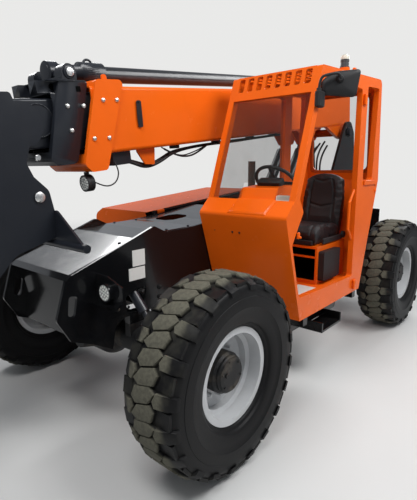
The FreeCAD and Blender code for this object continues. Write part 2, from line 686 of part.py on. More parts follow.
def blank_plates():
    """Two blank sign plates on the left side plate and one on the cab's floor."""
    y, t = PLATE_Y, SIGN_THICK
    return Part.makeCompound([box(-58, 45, y, y + t, 1082, 1188), box(-55, 78, y, y + t, 991, 1073),
                              box(-1250, -850, 840, 1040, FLOOR_Z, FLOOR_Z + t)])


def exhaust():
    """Exhaust stack behind the engine hood, on a foot at the right side plate."""
    x, y = POD_REAR - 80, -PLATE_Y - 50
    foot = box(x - 45, x + 45, y - 45, -PLATE_Y, 880, 940)
    return fused([foot, rod((x, y, 880), (x, y, 1780), 42)])


def chassis():
    """Everything that is bolted to the frame."""
    save("chassis_frame", chassis_frame())
    save("front_deck", front_deck())
    save("axle_locks", axle_locks())
    save("engine_hood", engine_hood())
    save("engine_tray", engine_tray())
    save("engine_block", engine_block())
    save("fuel_tank", fuel_tank())
    save("counterweight", counterweight())
    save("headlamps", headlamps())
    save("tail_lamps", tail_lamps())
    save("blank_plates", blank_plates())
    save("exhaust", exhaust())


# Cab

def on_screen(shape):
    """A shape drawn upright above the origin, tilted back into the windscreen's plane from its foot."""
    dx, dz = SCREEN_TOP[0] - SCREEN_FOOT[0], SCREEN_TOP[1] - SCREEN_FOOT[1]
    placed = shape.copy()
    placed.rotate(V(0, 0, 0), V(0, 1, 0), math.degrees(math.atan2(dx, dz)))
    placed.translate(V(SCREEN_FOOT[0], 0, SCREEN_FOOT[1]))
    return placed


def screen_height(z):
    """Distance up the windscreen's plane for a height above the ground."""
    dx, dz = SCREEN_TOP[0] - SCREEN_FOOT[0], SCREEN_TOP[1] - SCREEN_FOOT[1]
    return (z - SCREEN_FOOT[1]) * math.hypot(dx, dz) / dz


def slot_rows():
    """Middle lines of the slots in the header and the roof."""
    return [SLOT_FIRST_Y + SLOT_PITCH * i for i in range(SLOT_COUNT)]


def cab_sides():
    """Near side with its door opening and far side with its window."""
    y0, y1, p = CAB_INNER_Y, CAB_OUTER_Y, CAB_POST
    slot = slab_xz(REAR_SLOT, 0, 2000)
    near = slab_xz(CAB_SIDE, y1 - p, y1).cut(slab_xz(DOOR_HOLE, 0, 2000)).cut(slot)
    far = slab_xz(CAB_SIDE, y0, y0 + p).cut(slab_xz(FAR_WINDOW, 0, 2000)).cut(slot)
    return [near, far]


def cab_header():
    """Slotted header above the windscreen, in the windscreen's plane."""
    y0, y1, half = CAB_INNER_Y + CAB_POST, CAB_OUTER_Y - CAB_POST, SLOT_WIDTH / 2
    low, high = screen_height(SCREEN_GLASS_TOP), screen_height(SCREEN_TOP[1])
    plate = box(-24, 0, y0, y1, low, high)
    slot_low, slot_high = screen_height(2262), screen_height(2360)
    for y in slot_rows():
        plate = plate.cut(slab_yz([(y - half, slot_low, 14), (y + half, slot_low, 14),
                                   (y + half, slot_high, 14),
                                   (y - half, slot_high, 14)], -100, 100))
    return on_screen(plate)


def cab_roof():
    """Roof sheet with three rows of slots over the operator."""
    y0, y1, half, t = CAB_INNER_Y + CAB_POST, CAB_OUTER_Y - CAB_POST, SLOT_WIDTH / 2, 16
    # Slot rows along the roof: x from and to
    rows = [(-1160, -1045), (-1300, -1185), (-1440, -1325)]
    (front, low), (rear, high) = SCREEN_TOP, ROOF_REAR
    sheet = slab_xz([(front - 6, low), (rear + 2, high), (rear + 2, high - t), (front - 12, low - t)], y0, y1)
    for x0, x1 in rows:
        for y in slot_rows():
            sheet = sheet.cut(slab_xy([(x0, y - half, 14), (x1, y - half, 14), (x1, y + half, 14),
                                       (x0, y + half, 14)], 2300, 2500))
    return sheet


def cab_rear():
    """Rear sheet with the rear window's opening."""
    y0, y1 = CAB_INNER_Y + CAB_POST, CAB_OUTER_Y - CAB_POST
    rear, high = ROOF_REAR
    sheet = slab_xz([(-1894, CAB_LOW), (-2197, 1591), (rear, high), (rear + 18, high - 1), (-2178, 1593),
                     (-1876, CAB_LOW)], y0, y1)
    return sheet.cut(slab_yz([(y0 + 55, 1680, 50), (y1 - 55, 1680, 50), (y1 - 55, 2330, 50),
                              (y0 + 55, 2330, 50)],
                             -2500, -2000))


def grab_handle():
    """Bent grab bar on the rear door post."""
    y = CAB_OUTER_Y - 25
    bends = [(-1718, y, 1520), (-1640, y, 1420), (-1640, y, 1200), (-1718, y, 1110)]
    bars = [rod(a, b, HANDLE_RADIUS) for a, b in zip(bends, bends[1:])]
    knees = [Part.makeSphere(HANDLE_RADIUS + 1, V(*b)) for b in bends[1:3]]
    return bars + knees


def cab_frame():
    """Side frames, slotted header and roof, rear sheet, grab handle, beacon pad and lifting eye."""
    pad = rod((BEACON_X, BEACON_Y, BEACON_SEAT_Z - BEACON_PAD - 10), (BEACON_X, BEACON_Y, BEACON_SEAT_Z), 38)
    eye = slab_xz([(-1620, 2400), (-1620, 2452, 18), (-1570, 2452, 18), (-1570, 2400)], 1056, 1070)
    eye = eye.cut(cross_rod(-1595, 2430, 11, 1000, 1100))
    rail = box(-1885, -1862, CAB_INNER_Y + CAB_POST, CAB_OUTER_Y - CAB_POST, CAB_LOW, FLOOR_Z - 20)
    return fused(cab_sides() + [cab_header(), cab_roof(), cab_rear(), pad, eye, rail] + grab_handle())


def cab_cowl():
    """Folded front sheet below the windscreen with the instrument hump and the column's pedestal."""
    y0, y1, t = CAB_INNER_Y + CAB_POST, CAB_OUTER_Y - CAB_POST, CAB_SHEET
    sheet = slab_xz([(-822, CAB_LOW), (-594, 1388, 30), (-700, 1490), (-700 - 8, 1486), (-594 - 9, 1387, 24),
                     (-822 - t, CAB_LOW)], y0, y1)
    hump = slab_xz([(-704, 1487), (-722, 1493), (-766, 1566, 20), (-950, 1582, 20), (-962, 1520, 20),
                    (-860, 1400),
                    (-612, 1400)], 620, 920)
    pedestal = slab_xz([(-840, FLOOR_Z), (-930, FLOOR_Z), (-985, 1392), (-895, 1444), (-820, 1410)], 660, 780)
    return fused([sheet, hump, pedestal])


def cab_floor():
    """Floor plate between the side frames."""
    return box(-1880, -796, CAB_INNER_Y + CAB_POST, CAB_OUTER_Y - CAB_POST, FLOOR_Z - 20, FLOOR_Z)


def cab_glass():
    """Windscreen, far side window and rear window."""
    y0, y1, gap = CAB_INNER_Y + CAB_POST, CAB_OUTER_Y - CAB_POST, RUNNING_GAP
    screen = on_screen(box(-14, -8, y0, y1, 10, screen_height(SCREEN_GLASS_TOP) - gap))
    side = slab_xz(FAR_WINDOW, CAB_INNER_Y + 18, CAB_INNER_Y + 24)
    rear = slab_yz([(y0 + 30, 1655, 40), (y1 - 30, 1655, 40), (y1 - 30, 2350, 40), (y0 + 30, 2350, 40)], -3,
                   3)
    slope = math.degrees(math.atan2(2178 - 2112, 2436 - 1593))
    rear.rotate(V(0, 0, 1655), V(0, 1, 0), slope)
    rear.translate(V(-2169.5, 0, 0))
    return Part.makeCompound([screen, side, rear])


def seat_box():
    """Open-fronted box that carries the seat, with two pockets."""
    x0, x1, y0, y1, w = -1850, -1330, 450, 950, 15
    shell = box(x0, x1, y0, y1, FLOOR_Z, SEAT_Z)
    for low, high in ((800, 985), (1000, 1062)):
        shell = shell.cut(box(x1 - 300, x1 + 1, y0 + w, y1 - w, low, high))
    return shell


def document_box():
    """Black document box on the seat box's near side."""
    return slab_xz([(-1360, 800, 15), (-1660, 800, 15), (-1660, 1040, 15), (-1360, 1040, 15)], 950, 1000)


def seat_cushion():
    """Seat cushion on the seat box."""
    low = SEAT_Z + RUNNING_GAP
    return slab_xz([(-1345, low), (-1325, 1190, 45), (-1420, 1240, 80), (-1800, 1220, 30), (-1806, low)], 500,
                   940)


def seat_back():
    """Seat back standing behind the cushion."""
    low = SEAT_Z + RUNNING_GAP
    return slab_xz([(-1810, low), (-1812, 1250, 60), (-1850, 1450, 200), (-1885, 1690, 35), (-1955, 1680, 35),
                    (-1905, 1300, 200), (-1850, low)], 500, 940)


def steering_wheel():
    """Ring, hub, spokes and column."""
    centre, tilt = V(-1060, 720, 1600), V(-0.5, 0, 0.866)
    ring = Part.makeTorus(STEERING_RADIUS, 15, centre, tilt)
    column = rod((-952.3, 720, 1411.5), tuple(centre), 26)
    hub_disc = rod(tuple(centre - tilt * 12), tuple(centre + tilt * 14), 42)
    ways = [V(0, 1, 0), V(0, -1, 0), V(-0.866, 0, -0.5)]
    spokes = [rod(tuple(centre), tuple(centre + way * STEERING_RADIUS), 10) for way in ways]
    return fused([ring, column, hub_disc] + spokes)


def mirror():
    """Left mirror on its bent arm, clamped to the front post."""
    turn = math.degrees(math.asin(130 / MIRROR_WIDTH))
    y = CAB_OUTER_Y
    clamp = box(-965, -905, y, y + 35, 2095, 2195)
    bends = [(-932, y + 18, 2180), (-925, y + 22, 2285), (-985, y + 95, 2296), (-1038, y + 110, 2243)]
    arm = [rod(a, b, 10) for a, b in zip(bends, bends[1:])] + [Part.makeSphere(12, V(*b)) for b in bends[1:3]]
    head = slab_yz([(0, 0, 35), (MIRROR_WIDTH, 0, 35), (MIRROR_WIDTH, 145, 35), (0, 145, 35)], -12, 13)
    head.rotate(V(0, 0, 0), V(0, 0, 1), turn)
    head.translate(V(-1000, y + 15, 2165))
    ball = rod((-1036, y + 111, 2240), (-1062, y + 90, 2240), 22)
    return fused([clamp, head, ball] + arm)


def beacon():
    """Beacon with its domed lens on the roof pad."""
    foot = (BEACON_X, BEACON_Y, BEACON_SEAT_Z)
    body = rod(foot, (BEACON_X, BEACON_Y, BEACON_SEAT_Z + 85), 34)
    lens = Part.makeCone(30, 24, 50, V(BEACON_X, BEACON_Y, BEACON_SEAT_Z + 85), V(0, 0, 1))
    return fused([body, lens])


def cab():
    """Everything of the cab, all fixed to the chassis."""
    save("cab_frame", cab_frame())
    save("cab_cowl", cab_cowl())
    save("cab_floor", cab_floor())
    save("cab_glass", cab_glass())
    save("seat_box", seat_box())
    save("document_box", document_box())
    save("seat_cushion", seat_cushion())
    save("seat_back", seat_back())
    save("steering_wheel", steering_wheel())
    save("mirror", mirror())
    save("beacon", beacon())


# Boom

def wear_pads(x0, x1, step):
    """Four pads at a section's mouth that guide the next section, both counted from the outer one."""
    wall = OUTER_HALF - step * SECTION_STEP - OUTER_WALL
    seat = OUTER_HALF - (step + 1) * SECTION_STEP + RUNNING_GAP
    middle = (OUTER_LOW + OUTER_HIGH) / 2
    reach = seat - 45
    side = box(x0, x1, seat, wall + 1, middle - reach, middle + reach)
    flat = box(x0, x1, -reach, reach, middle + seat, middle + wall + 1)
    return [side, mirrored(side), flat, moved(flat, 0, 0, -seat - wall - 1)]


def slanted_collar(points, half, room):
    """A collar plate box around a section's mouth, cut hollow by the section's own room."""
    return slab_xz(points, -half, half).cut(room)


def lift_eye_on_boom():
    """Place of the lift cylinders' upper pins along and above the boom's line."""
    drop = math.radians(BOOM_DROP)
    dx, dz = LIFT_EYE_X - BOOM_LINE_X, LIFT_EYE_Z - BOOM_LINE_Z
    return dx * math.cos(drop) - dz * math.sin(drop), dx * math.sin(drop) + dz * math.cos(drop)


def lift_ears():
    """Left pair of ears below the outer section that hold a lift cylinder's upper pin."""
    eye_s, eye_t = lift_eye_on_boom()
    lug_in = LIFT_Y - LIFT_EYE_WIDTH / 2 - RUNNING_GAP - LUG_THICK
    inner = slab_xz([(eye_s - 300, OUTER_LOW + 4), (eye_s - 160, OUTER_LOW - 20, 60),
                     (eye_s - 60, eye_t - 50, 40),
                     (eye_s + 60, eye_t - 50, 40), (eye_s + 170, OUTER_LOW - 30, 60),
                     (eye_s + 260, OUTER_LOW + 4)],
                    lug_in, lug_in + LUG_THICK)
    return [inner, moved(inner, 0, LIFT_EYE_WIDTH + LUG_THICK + 2 * RUNNING_GAP, 0)]


def outer_boom():
    """Outer section with its slanted nose collar, tail ears and the lift cylinders' ears."""
    tube = hollow_section(OUTER_REAR, OUTER_FRONT, OUTER_HALF, OUTER_LOW, OUTER_HIGH, OUTER_WALL, 24)
    low, high = -20, COLLAR_TOP
    wall = OUTER_HALF - OUTER_WALL
    room = box(3000, 4000, -wall, wall, OUTER_LOW + OUTER_WALL, OUTER_HIGH - OUTER_WALL)
    collar = slanted_collar([(3315, high, 30), (3524, high, 30), (3686, 28, 30), (3640, low, 30),
                             (3527, low, 30)],
                            OUTER_HALF + 16, room)
    ear = slab_xz([(-90, 0, 80), (0, -90, 80), (110, -60, 60), (420, OUTER_LOW + 4), (-200, OUTER_LOW + 4)],
                  OUTER_HALF - 40, OUTER_HALF)
    ear = moved(ear, PIVOT_ALONG, 0, 0)
    pin = cross_rod(PIVOT_ALONG, 0, PIVOT_PIN_RADIUS, -TOWER_Y - 22, TOWER_Y + 22)
    rear_post = box(EXTEND_ROD_REAR - 60, EXTEND_ROD_REAR, -70, 70, OUTER_HIGH - 4, EXTEND_HEIGHT + 50)
    top_tab = slab_xz([(3400, high - 4), (3406, 550, 12), (3436, 550, 12), (3440, high - 4)], 150, 162)
    hanger = slab_xz([(3041, 64), (3056, -38, 8), (3143, -28, 8), (3203, 64), (3203, 84), (3041, 84)], 114,
                     126)
    ears = [ear] + lift_ears()
    return on_boom(fused([tube, collar, pin, rear_post, top_tab, hanger] + ears + [mirrored(e) for e in ears]
                         + wear_pads(OUTER_FRONT - 180, OUTER_FRONT - 40, 0)))


def boom_sensors():
    """Plumb pointer on the outer section's side and the sensor box below it."""
    y = OUTER_HALF
    pointer = slab_xz([(3190, 392, 12), (3228, 392, 12), (3236, 280), (3233, 222, 8), (3196, 222, 8),
                       (3192, 280)],
                      y + 8, y + 12)
    pin = rod((3209, y, 382), (3209, y + 18, 382), 8)
    housing = box(3280, 3428, 55, 145, -6, OUTER_LOW)
    return on_boom(Part.makeCompound([fused([pointer, pin]), housing]))


def work_lamp():
    """Round lamp hung from the outer section's collar, facing forward."""
    y, along, up = 135, 3660, -88
    shell = rod((along - 45, y, up), (along, y, up), 51)
    stem = box(along - 34, along - 14, y - 14, y + 14, up + 40, -20)
    return on_boom(fused([shell, stem]))


def extend_rod():
    """Long rod held at the outer boom's rear post, with its piston end inside the barrel."""
    return on_boom(rod((EXTEND_ROD_REAR, 0, EXTEND_HEIGHT), (EXTEND_BARREL_FRONT - 180, 0, EXTEND_HEIGHT),
                       EXTEND_ROD_RADIUS))


def extend_barrel():
    """Extend cylinder's barrel, carried by the middle boom's front bracket, with its round port block."""
    tube = rod((EXTEND_BARREL_REAR, 0, EXTEND_HEIGHT), (EXTEND_BARREL_FRONT, 0, EXTEND_HEIGHT),
               EXTEND_BARREL_RADIUS)
    bore = rod((EXTEND_BARREL_REAR - 1, 0, EXTEND_HEIGHT), (EXTEND_BARREL_FRONT - 120, 0, EXTEND_HEIGHT),
               EXTEND_BORE_RADIUS)
    gland = pipe((EXTEND_BARREL_REAR - 20, 0, EXTEND_HEIGHT), (EXTEND_BARREL_REAR + 60, 0, EXTEND_HEIGHT),
                 EXTEND_BARREL_RADIUS, EXTEND_ROD_RADIUS + RUNNING_GAP)
    port = pipe((3327, 0, EXTEND_HEIGHT), (3490, 0, EXTEND_HEIGHT), 70, EXTEND_BORE_RADIUS + 2)
    port = port.cut(box(3300, 3500, -100, 100, COLLAR_TOP - 100, EXTEND_HEIGHT - EXTEND_BARREL_RADIUS + 1))
    return on_boom(fused([tube.cut(bore), gland, port]))


def mid_boom():
    """Middle section with its slanted black collar and the block that holds the extend barrel."""
    half = OUTER_HALF - SECTION_STEP
    low, high = OUTER_LOW + SECTION_STEP, OUTER_HIGH - SECTION_STEP
    tube = hollow_section(MID_REAR, MID_FRONT, half, low, high, OUTER_WALL, 20)
    wall = half - OUTER_WALL
    room = box(3400, 4000, -wall, wall, low + OUTER_WALL, high - OUTER_WALL)
    collar = slanted_collar([(3567, 507, 20), (3755, 507, 20), (3885, 79, 30), (3850, 42, 30),
                             (3718, 42, 40)],
                            half + 26, room)
    seat = rod((3000, 0, EXTEND_HEIGHT), (EXTEND_BARREL_FRONT, 0, EXTEND_HEIGHT), EXTEND_BARREL_RADIUS)
    block = box(3655, 3820, -OUTER_HALF, OUTER_HALF, 500, EXTEND_HEIGHT + 4).cut(seat)
    cheeks = box(3672, 3800, -78, 78, EXTEND_HEIGHT - 12, EXTEND_HEIGHT + 62).cut(seat)
    pin = cross_on_boom(3683, EXTEND_HEIGHT - 24, 24, OUTER_HALF + 8)
    steps = box(3799, 3867, 60, 140, 440, 507)
    front_step = slab_xz([(3740, 440), (3799, 440), (3799, 507), (3740, 507)], 60, 140)
    extras = [steps, front_step]
    return on_boom(fused([tube, collar, block, cheeks, pin] + extras + [mirrored(e) for e in extras]
                         + wear_pads(MID_FRONT - 180, MID_FRONT - 40, 1)))


def cross_on_boom(along, up, radius, half):
    """A round bar across the boom in the boom's own axes, in two ends so that the barrel's seat stays free."""
    return Part.makeCompound([rod((along, side * (half - 120), up), (along, side * half, up), radius)
                              for side in (1, -1)])


def head_plate():
    """Left side plate of the gooseneck head with the coupler pivot's bore."""
    plate = slab_xz([
        (672, 2095, 20), (620, 1959, 60), (579, 1875, 80), (615, 1734, 30), (581, 1663, 30), (499, 1587, 60),
        (470, 1450, 60), (458, 1321, 30), (718, 1245, 120), (960, 980, 80), (1050, 700, 60), (1130, 672, 40),
        (1190, 680, 40), (1228, 760, 40), (1150, 1060, 100), (1130, 1400, 150), (1000, 1850, 150),
        (860, 2072, 80)], HEAD_Y - HEAD_PLATE, HEAD_Y)
    return plate.cut(cross_rod(COUPLER_PIVOT_X, COUPLER_PIVOT_Z, COUPLER_PIN_RADIUS + RUNNING_GAP, 0, 500))


def head_spacers():
    """Round bosses between the inner section's left side and the head plate: along, up, radius, to."""
    half = OUTER_HALF - 2 * SECTION_STEP
    middle = (OUTER_LOW + OUTER_HIGH) / 2
    rows = [(3892, 295, 90, half + 14), (4010, middle, 120, HEAD_Y - HEAD_PLATE + 5),
            (4180, middle, 120, HEAD_Y - HEAD_PLATE + 5)]
    bosses = []
    for along, up, radius, reach in rows:
        x, z = boom_point(along, up)
        bosses.append(cross_rod(x, z, radius, half - 5, reach))
    return bosses


def inner_boom():
    """Inner section with the gooseneck head's side plates, heel and cross tubes."""
    step = 2 * SECTION_STEP
    half = OUTER_HALF - step
    low, high = OUTER_LOW + step, OUTER_HIGH - step
    tube = on_boom(hollow_section(INNER_REAR, INNER_FRONT, half, low, high, OUTER_WALL, 16))
    left = [head_plate()] + head_spacers()
    inner = HEAD_Y - HEAD_PLATE
    tie = cross_rod(1040, 1560, 50, -inner - 2, inner + 2)
    tilt_pin = cross_rod(TILT_PIN_X, TILT_PIN_Z, TILT_PIN_RADIUS, -HEAD_Y - 8, HEAD_Y + 8)
    heel = slab_yz([(-110, 1440), (110, 1440), (205, 1480, 60), (480, 1290, 30), (480, 1262), (-480, 1262),
                    (-480, 1290, 30), (-205, 1480, 60)], 462, 476)
    bar = cross_rod(470, 1280, 24, -500, 500)
    return fused([tube, tie, tilt_pin, heel, bar] + left + [mirrored(shape) for shape in left])


def boom():
    """Boom sections and their extend cylinder."""
    save("outer_boom", outer_boom())
    save("boom_sensors", boom_sensors())
    save("work_lamp", work_lamp())
    save("extend_rod", extend_rod())
    save("extend_barrel", extend_barrel())
    save("mid_boom", mid_boom())
    save("inner_boom", inner_boom())


# Cylinders

def cylinder_barrel(base, tip, radius, bore, length, eye_radius, eye_half, pin, y):
    """A cylinder's barrel from its base eye towards its rod eye, both given as (x, z)."""
    way = V(tip[0] - base[0], 0, tip[1] - base[1]).normalize()
    foot = V(base[0], y, base[1])
    start = foot + way * (eye_radius + 22)
    end = foot + way * length
    tube = rod(start, end, radius)
    neck = rod(foot + way * (eye_radius * 0.6), start, eye_half * 0.8)
    hole = rod(foot + way * (eye_radius + 60), end + way, bore)
    eye = cross_rod(base[0], base[1], eye_radius, y - eye_half, y + eye_half)
    pin_hole = cross_rod(base[0], base[1], pin + RUNNING_GAP, y - eye_half - 1, y + eye_half + 1)
    return fused([tube.cut(hole), neck, eye]).cut(pin_hole)


def cylinder_rod(base, tip, rod_radius, inside, eye_radius, eye_half, y):
    """A cylinder's rod from inside its barrel to its eye at the tip."""
    way = V(tip[0] - base[0], 0, tip[1] - base[1]).normalize()
    head = V(tip[0], y, tip[1])
    start = V(base[0], y, base[1]) + way * inside
    bar = rod(start, head - way * (eye_radius * 0.7), rod_radius)
    eye = cross_rod(tip[0], tip[1], eye_radius, y - eye_half, y + eye_half)
    return fused([bar, eye])


def cylinders():
    """Lift and tilt cylinders."""
    base, tip = (LIFT_BASE_X, LIFT_BASE_Z), (LIFT_EYE_X, LIFT_EYE_Z)
    length = math.hypot(tip[0] - base[0], tip[1] - base[1])
    half = LIFT_EYE_WIDTH / 2
    barrel = cylinder_barrel(base, tip, LIFT_BARREL_RADIUS, LIFT_BORE_RADIUS, length - 150, LIFT_EYE_RADIUS,
                             half, LIFT_PIN_RADIUS, LIFT_Y)
    bar = cylinder_rod(base, tip, LIFT_ROD_RADIUS, 180, LIFT_EYE_RADIUS, half, LIFT_Y)
    save("lift_barrels", pair(barrel))
    save("lift_rods", pair(bar))
    base = (TILT_PIN_X, TILT_PIN_Z)
    angle = math.radians(TILT_EYE_ANGLE)
    tip = (COUPLER_PIVOT_X + TILT_EYE_RADIUS * math.cos(angle),
           COUPLER_PIVOT_Z + TILT_EYE_RADIUS * math.sin(angle))
    length = math.hypot(tip[0] - base[0], tip[1] - base[1])
    half = TILT_EYE_WIDTH / 2
    save("tilt_barrel",
         cylinder_barrel(base, tip, TILT_BARREL_RADIUS, TILT_BORE_RADIUS, length - 160, 50, half,
                                        TILT_PIN_RADIUS, 0))
    save("tilt_rod", cylinder_rod(base, tip, TILT_ROD_RADIUS, 200, 46, half, 0))


# Coupler and forks

def coupler():
    """Quick coupler: two cheeks, the pivot pin, the hook tube and the face plate."""
    angle = math.radians(TILT_EYE_ANGLE)
    ex = COUPLER_PIVOT_X + TILT_EYE_RADIUS * math.cos(angle)
    ez = COUPLER_PIVOT_Z + TILT_EYE_RADIUS * math.sin(angle)
    x, z = COUPLER_PIVOT_X, COUPLER_PIVOT_Z
    cheek = slab_xz([(x - 60, z, 40), (ex - 50, ez + 50, 30), (ex + 60, ez + 40, 30), (CARRIAGE_X - 8, 700),
                     (CARRIAGE_X - 8, 480), (x, z - 75, 40)], 120, 150)
    lug_in = TILT_EYE_WIDTH / 2 + RUNNING_GAP
    lug = slab_xz([(ex - 46, ez + 46, 40), (ex + 46, ez + 46, 40), (CARRIAGE_X - 8, ez - 40),
                   (CARRIAGE_X - 8, z),
                   (x + 20, z - 20)], lug_in, lug_in + LUG_THICK)
    pin = cross_rod(x, z, COUPLER_PIN_RADIUS, -HEAD_Y - 20, HEAD_Y + 20)
    face = box(CARRIAGE_X - 28, CARRIAGE_X - 8, -165, 165, 440, 840)
    hook = cross_rod(CARRIAGE_X - 25, 900, 17, -165, 165)
    return fused([cheek, mirrored(cheek), lug, mirrored(lug), pin, face, hook])


def carriage():
    """Fork carriage: two cross bars, uprights and the load guard."""
    x = CARRIAGE_X
    bars = [box(x, x + 40, -CARRIAGE_HALF, CARRIAGE_HALF, z, z + 90) for z in (CARRIAGE_LOW, 700)]
    posts = [box(x - 8, x, y - 30, y + 30, CARRIAGE_LOW, CARRIAGE_HIGH) for y in (-430, -170, 170, 430)]
    top = box(x - 8, x + 20, -CARRIAGE_HALF, CARRIAGE_HALF, CARRIAGE_HIGH - 30, CARRIAGE_HIGH)
    return fused(bars + posts + [top])


def forks():
    """Two L-shaped forks with tapered blades."""
    x = CARRIAGE_X + 40
    g = FORK_GROUND_GAP
    top = g + FORK_THICK
    blade = slab_xz([(x, 790, 8), (x + FORK_THICK, 790, 8), (x + FORK_THICK, top, 12), (FORK_TIP_X, top),
                     (FORK_TIP_X, top - 12), (x + 500, g), (x, g, 30)],
                    FORK_Y - FORK_WIDTH / 2, FORK_Y + FORK_WIDTH / 2)
    return pair(blade)


def attachment():
    """Coupler, carriage and forks."""
    save("coupler", coupler())
    save("carriage", carriage())
    save("forks", forks())


wheel_sets()
chassis()
cab()
boom()
cylinders()
attachment()
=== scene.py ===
"""Looks of a telehandler: finishes, lugged tyres, vinyl seat, hoses, lamps and small fittings.

Places are in metres. The machine's own axes start on the ground below the front axle, X forward,
Y to the operator's left and Z up; Site turns them into the frame's axes.
"""

import json
import logging
import math
from dataclasses import dataclass, field
from enum import Enum
from typing import Callable, Sequence, Union

import bpy
from mathutils import Matrix, Vector

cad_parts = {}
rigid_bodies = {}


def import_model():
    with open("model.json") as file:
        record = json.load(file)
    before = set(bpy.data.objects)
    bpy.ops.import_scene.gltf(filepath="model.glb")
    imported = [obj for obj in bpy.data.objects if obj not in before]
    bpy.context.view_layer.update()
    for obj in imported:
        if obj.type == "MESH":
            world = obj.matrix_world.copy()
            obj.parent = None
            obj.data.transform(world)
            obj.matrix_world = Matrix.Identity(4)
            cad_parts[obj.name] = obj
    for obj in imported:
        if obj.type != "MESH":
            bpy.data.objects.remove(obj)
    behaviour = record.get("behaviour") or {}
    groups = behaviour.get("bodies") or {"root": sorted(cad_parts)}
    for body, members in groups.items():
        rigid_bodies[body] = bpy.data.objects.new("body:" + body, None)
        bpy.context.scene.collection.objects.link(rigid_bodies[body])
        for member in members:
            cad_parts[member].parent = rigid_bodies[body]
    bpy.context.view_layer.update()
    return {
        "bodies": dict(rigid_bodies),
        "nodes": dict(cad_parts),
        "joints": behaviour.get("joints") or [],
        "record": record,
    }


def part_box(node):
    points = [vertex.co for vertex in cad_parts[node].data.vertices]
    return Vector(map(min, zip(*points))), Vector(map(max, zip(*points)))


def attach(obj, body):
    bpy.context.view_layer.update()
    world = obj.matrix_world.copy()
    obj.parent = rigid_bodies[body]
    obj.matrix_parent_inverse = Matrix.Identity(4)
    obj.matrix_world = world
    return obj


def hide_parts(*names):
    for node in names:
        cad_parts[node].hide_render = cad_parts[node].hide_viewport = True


log = logging.getLogger("telehandler")

Point = tuple[float, float, float]
Colour = tuple[float, float, float]
Rows = Sequence[tuple[float, float]]
Value = Union["Tap", float, Point]

IMAGE_LONG_SIDE = 500
SENSOR_MM = 36.0
AXLE_Z = 0.5725
WHEEL_Y = 1.022
WHEELBASE = 3.02
WHEELS = (("fl", 0.0, 1), ("fr", 0.0, -1), ("rl", -WHEELBASE, 1), ("rr", -WHEELBASE, -1))
SIDES = (-1, 1)
FULL_TURN = 2 * math.pi
X, Y, Z = (Vector(row) for row in ((1, 0, 0), (0, 1, 0), (0, 0, 1)))
CAD_SMOOTH = 30.0
EDGE_SHARE = 0.24
DOME_Z = 2.484

ORANGE = (0.80, 0.122, 0.006)
BLACK = (0.0055, 0.0058, 0.0066)
SLATE = (0.012, 0.014, 0.019)
PALE = (0.86, 0.86, 0.85)
PALE_LIGHT = 0.95


class Body(Enum):
    """Bodies of the machine that carry pieces of this file."""

    CHASSIS = "chassis"
    HOOD = "hood"
    OUTER = "outer_boom"
    MID = "mid_boom"
    INNER = "inner_boom"


class Tap:
    """One value of a shader graph, with operators that add Math nodes."""

    def __init__(self, graph: "Graph", socket: bpy.types.NodeSocket) -> None:
        """Keep the graph and the output socket."""
        self.graph, self.socket = graph, socket

    def _math(self, operation: str, first: Value, second: Value) -> "Tap":
        """Add one Math node."""
        return self.graph.add("ShaderNodeMath", {"operation": operation}, {0: first, 1: second})

    def __add__(self, other: Value) -> "Tap":
        """This plus other."""
        return self._math("ADD", self, other)

    def __radd__(self, other: Value) -> "Tap":
        """Other plus this."""
        return self._math("ADD", other, self)

    def __sub__(self, other: Value) -> "Tap":
        """This minus other."""
        return self._math("SUBTRACT", self, other)

    def __rsub__(self, other: Value) -> "Tap":
        """Other minus this."""
        return self._math("SUBTRACT", other, self)

    def __mul__(self, other: Value) -> "Tap":
        """This times other."""
        return self._math("MULTIPLY", self, other)

    def __rmul__(self, other: Value) -> "Tap":
        """Other times this."""
        return self._math("MULTIPLY", other, self)

    def __pow__(self, other: Value) -> "Tap":
        """This to a power."""
        return self._math("POWER", self, other)

    def between(self, low: float, high: float) -> "Tap":
        """A smooth step that is 0 below low and 1 above high."""
        rows = {0: self, 1: low, 2: high, 3: 0.0, 4: 1.0}
        return self.graph.add("ShaderNodeMapRange", {"interpolation_type": "SMOOTHSTEP"}, rows)


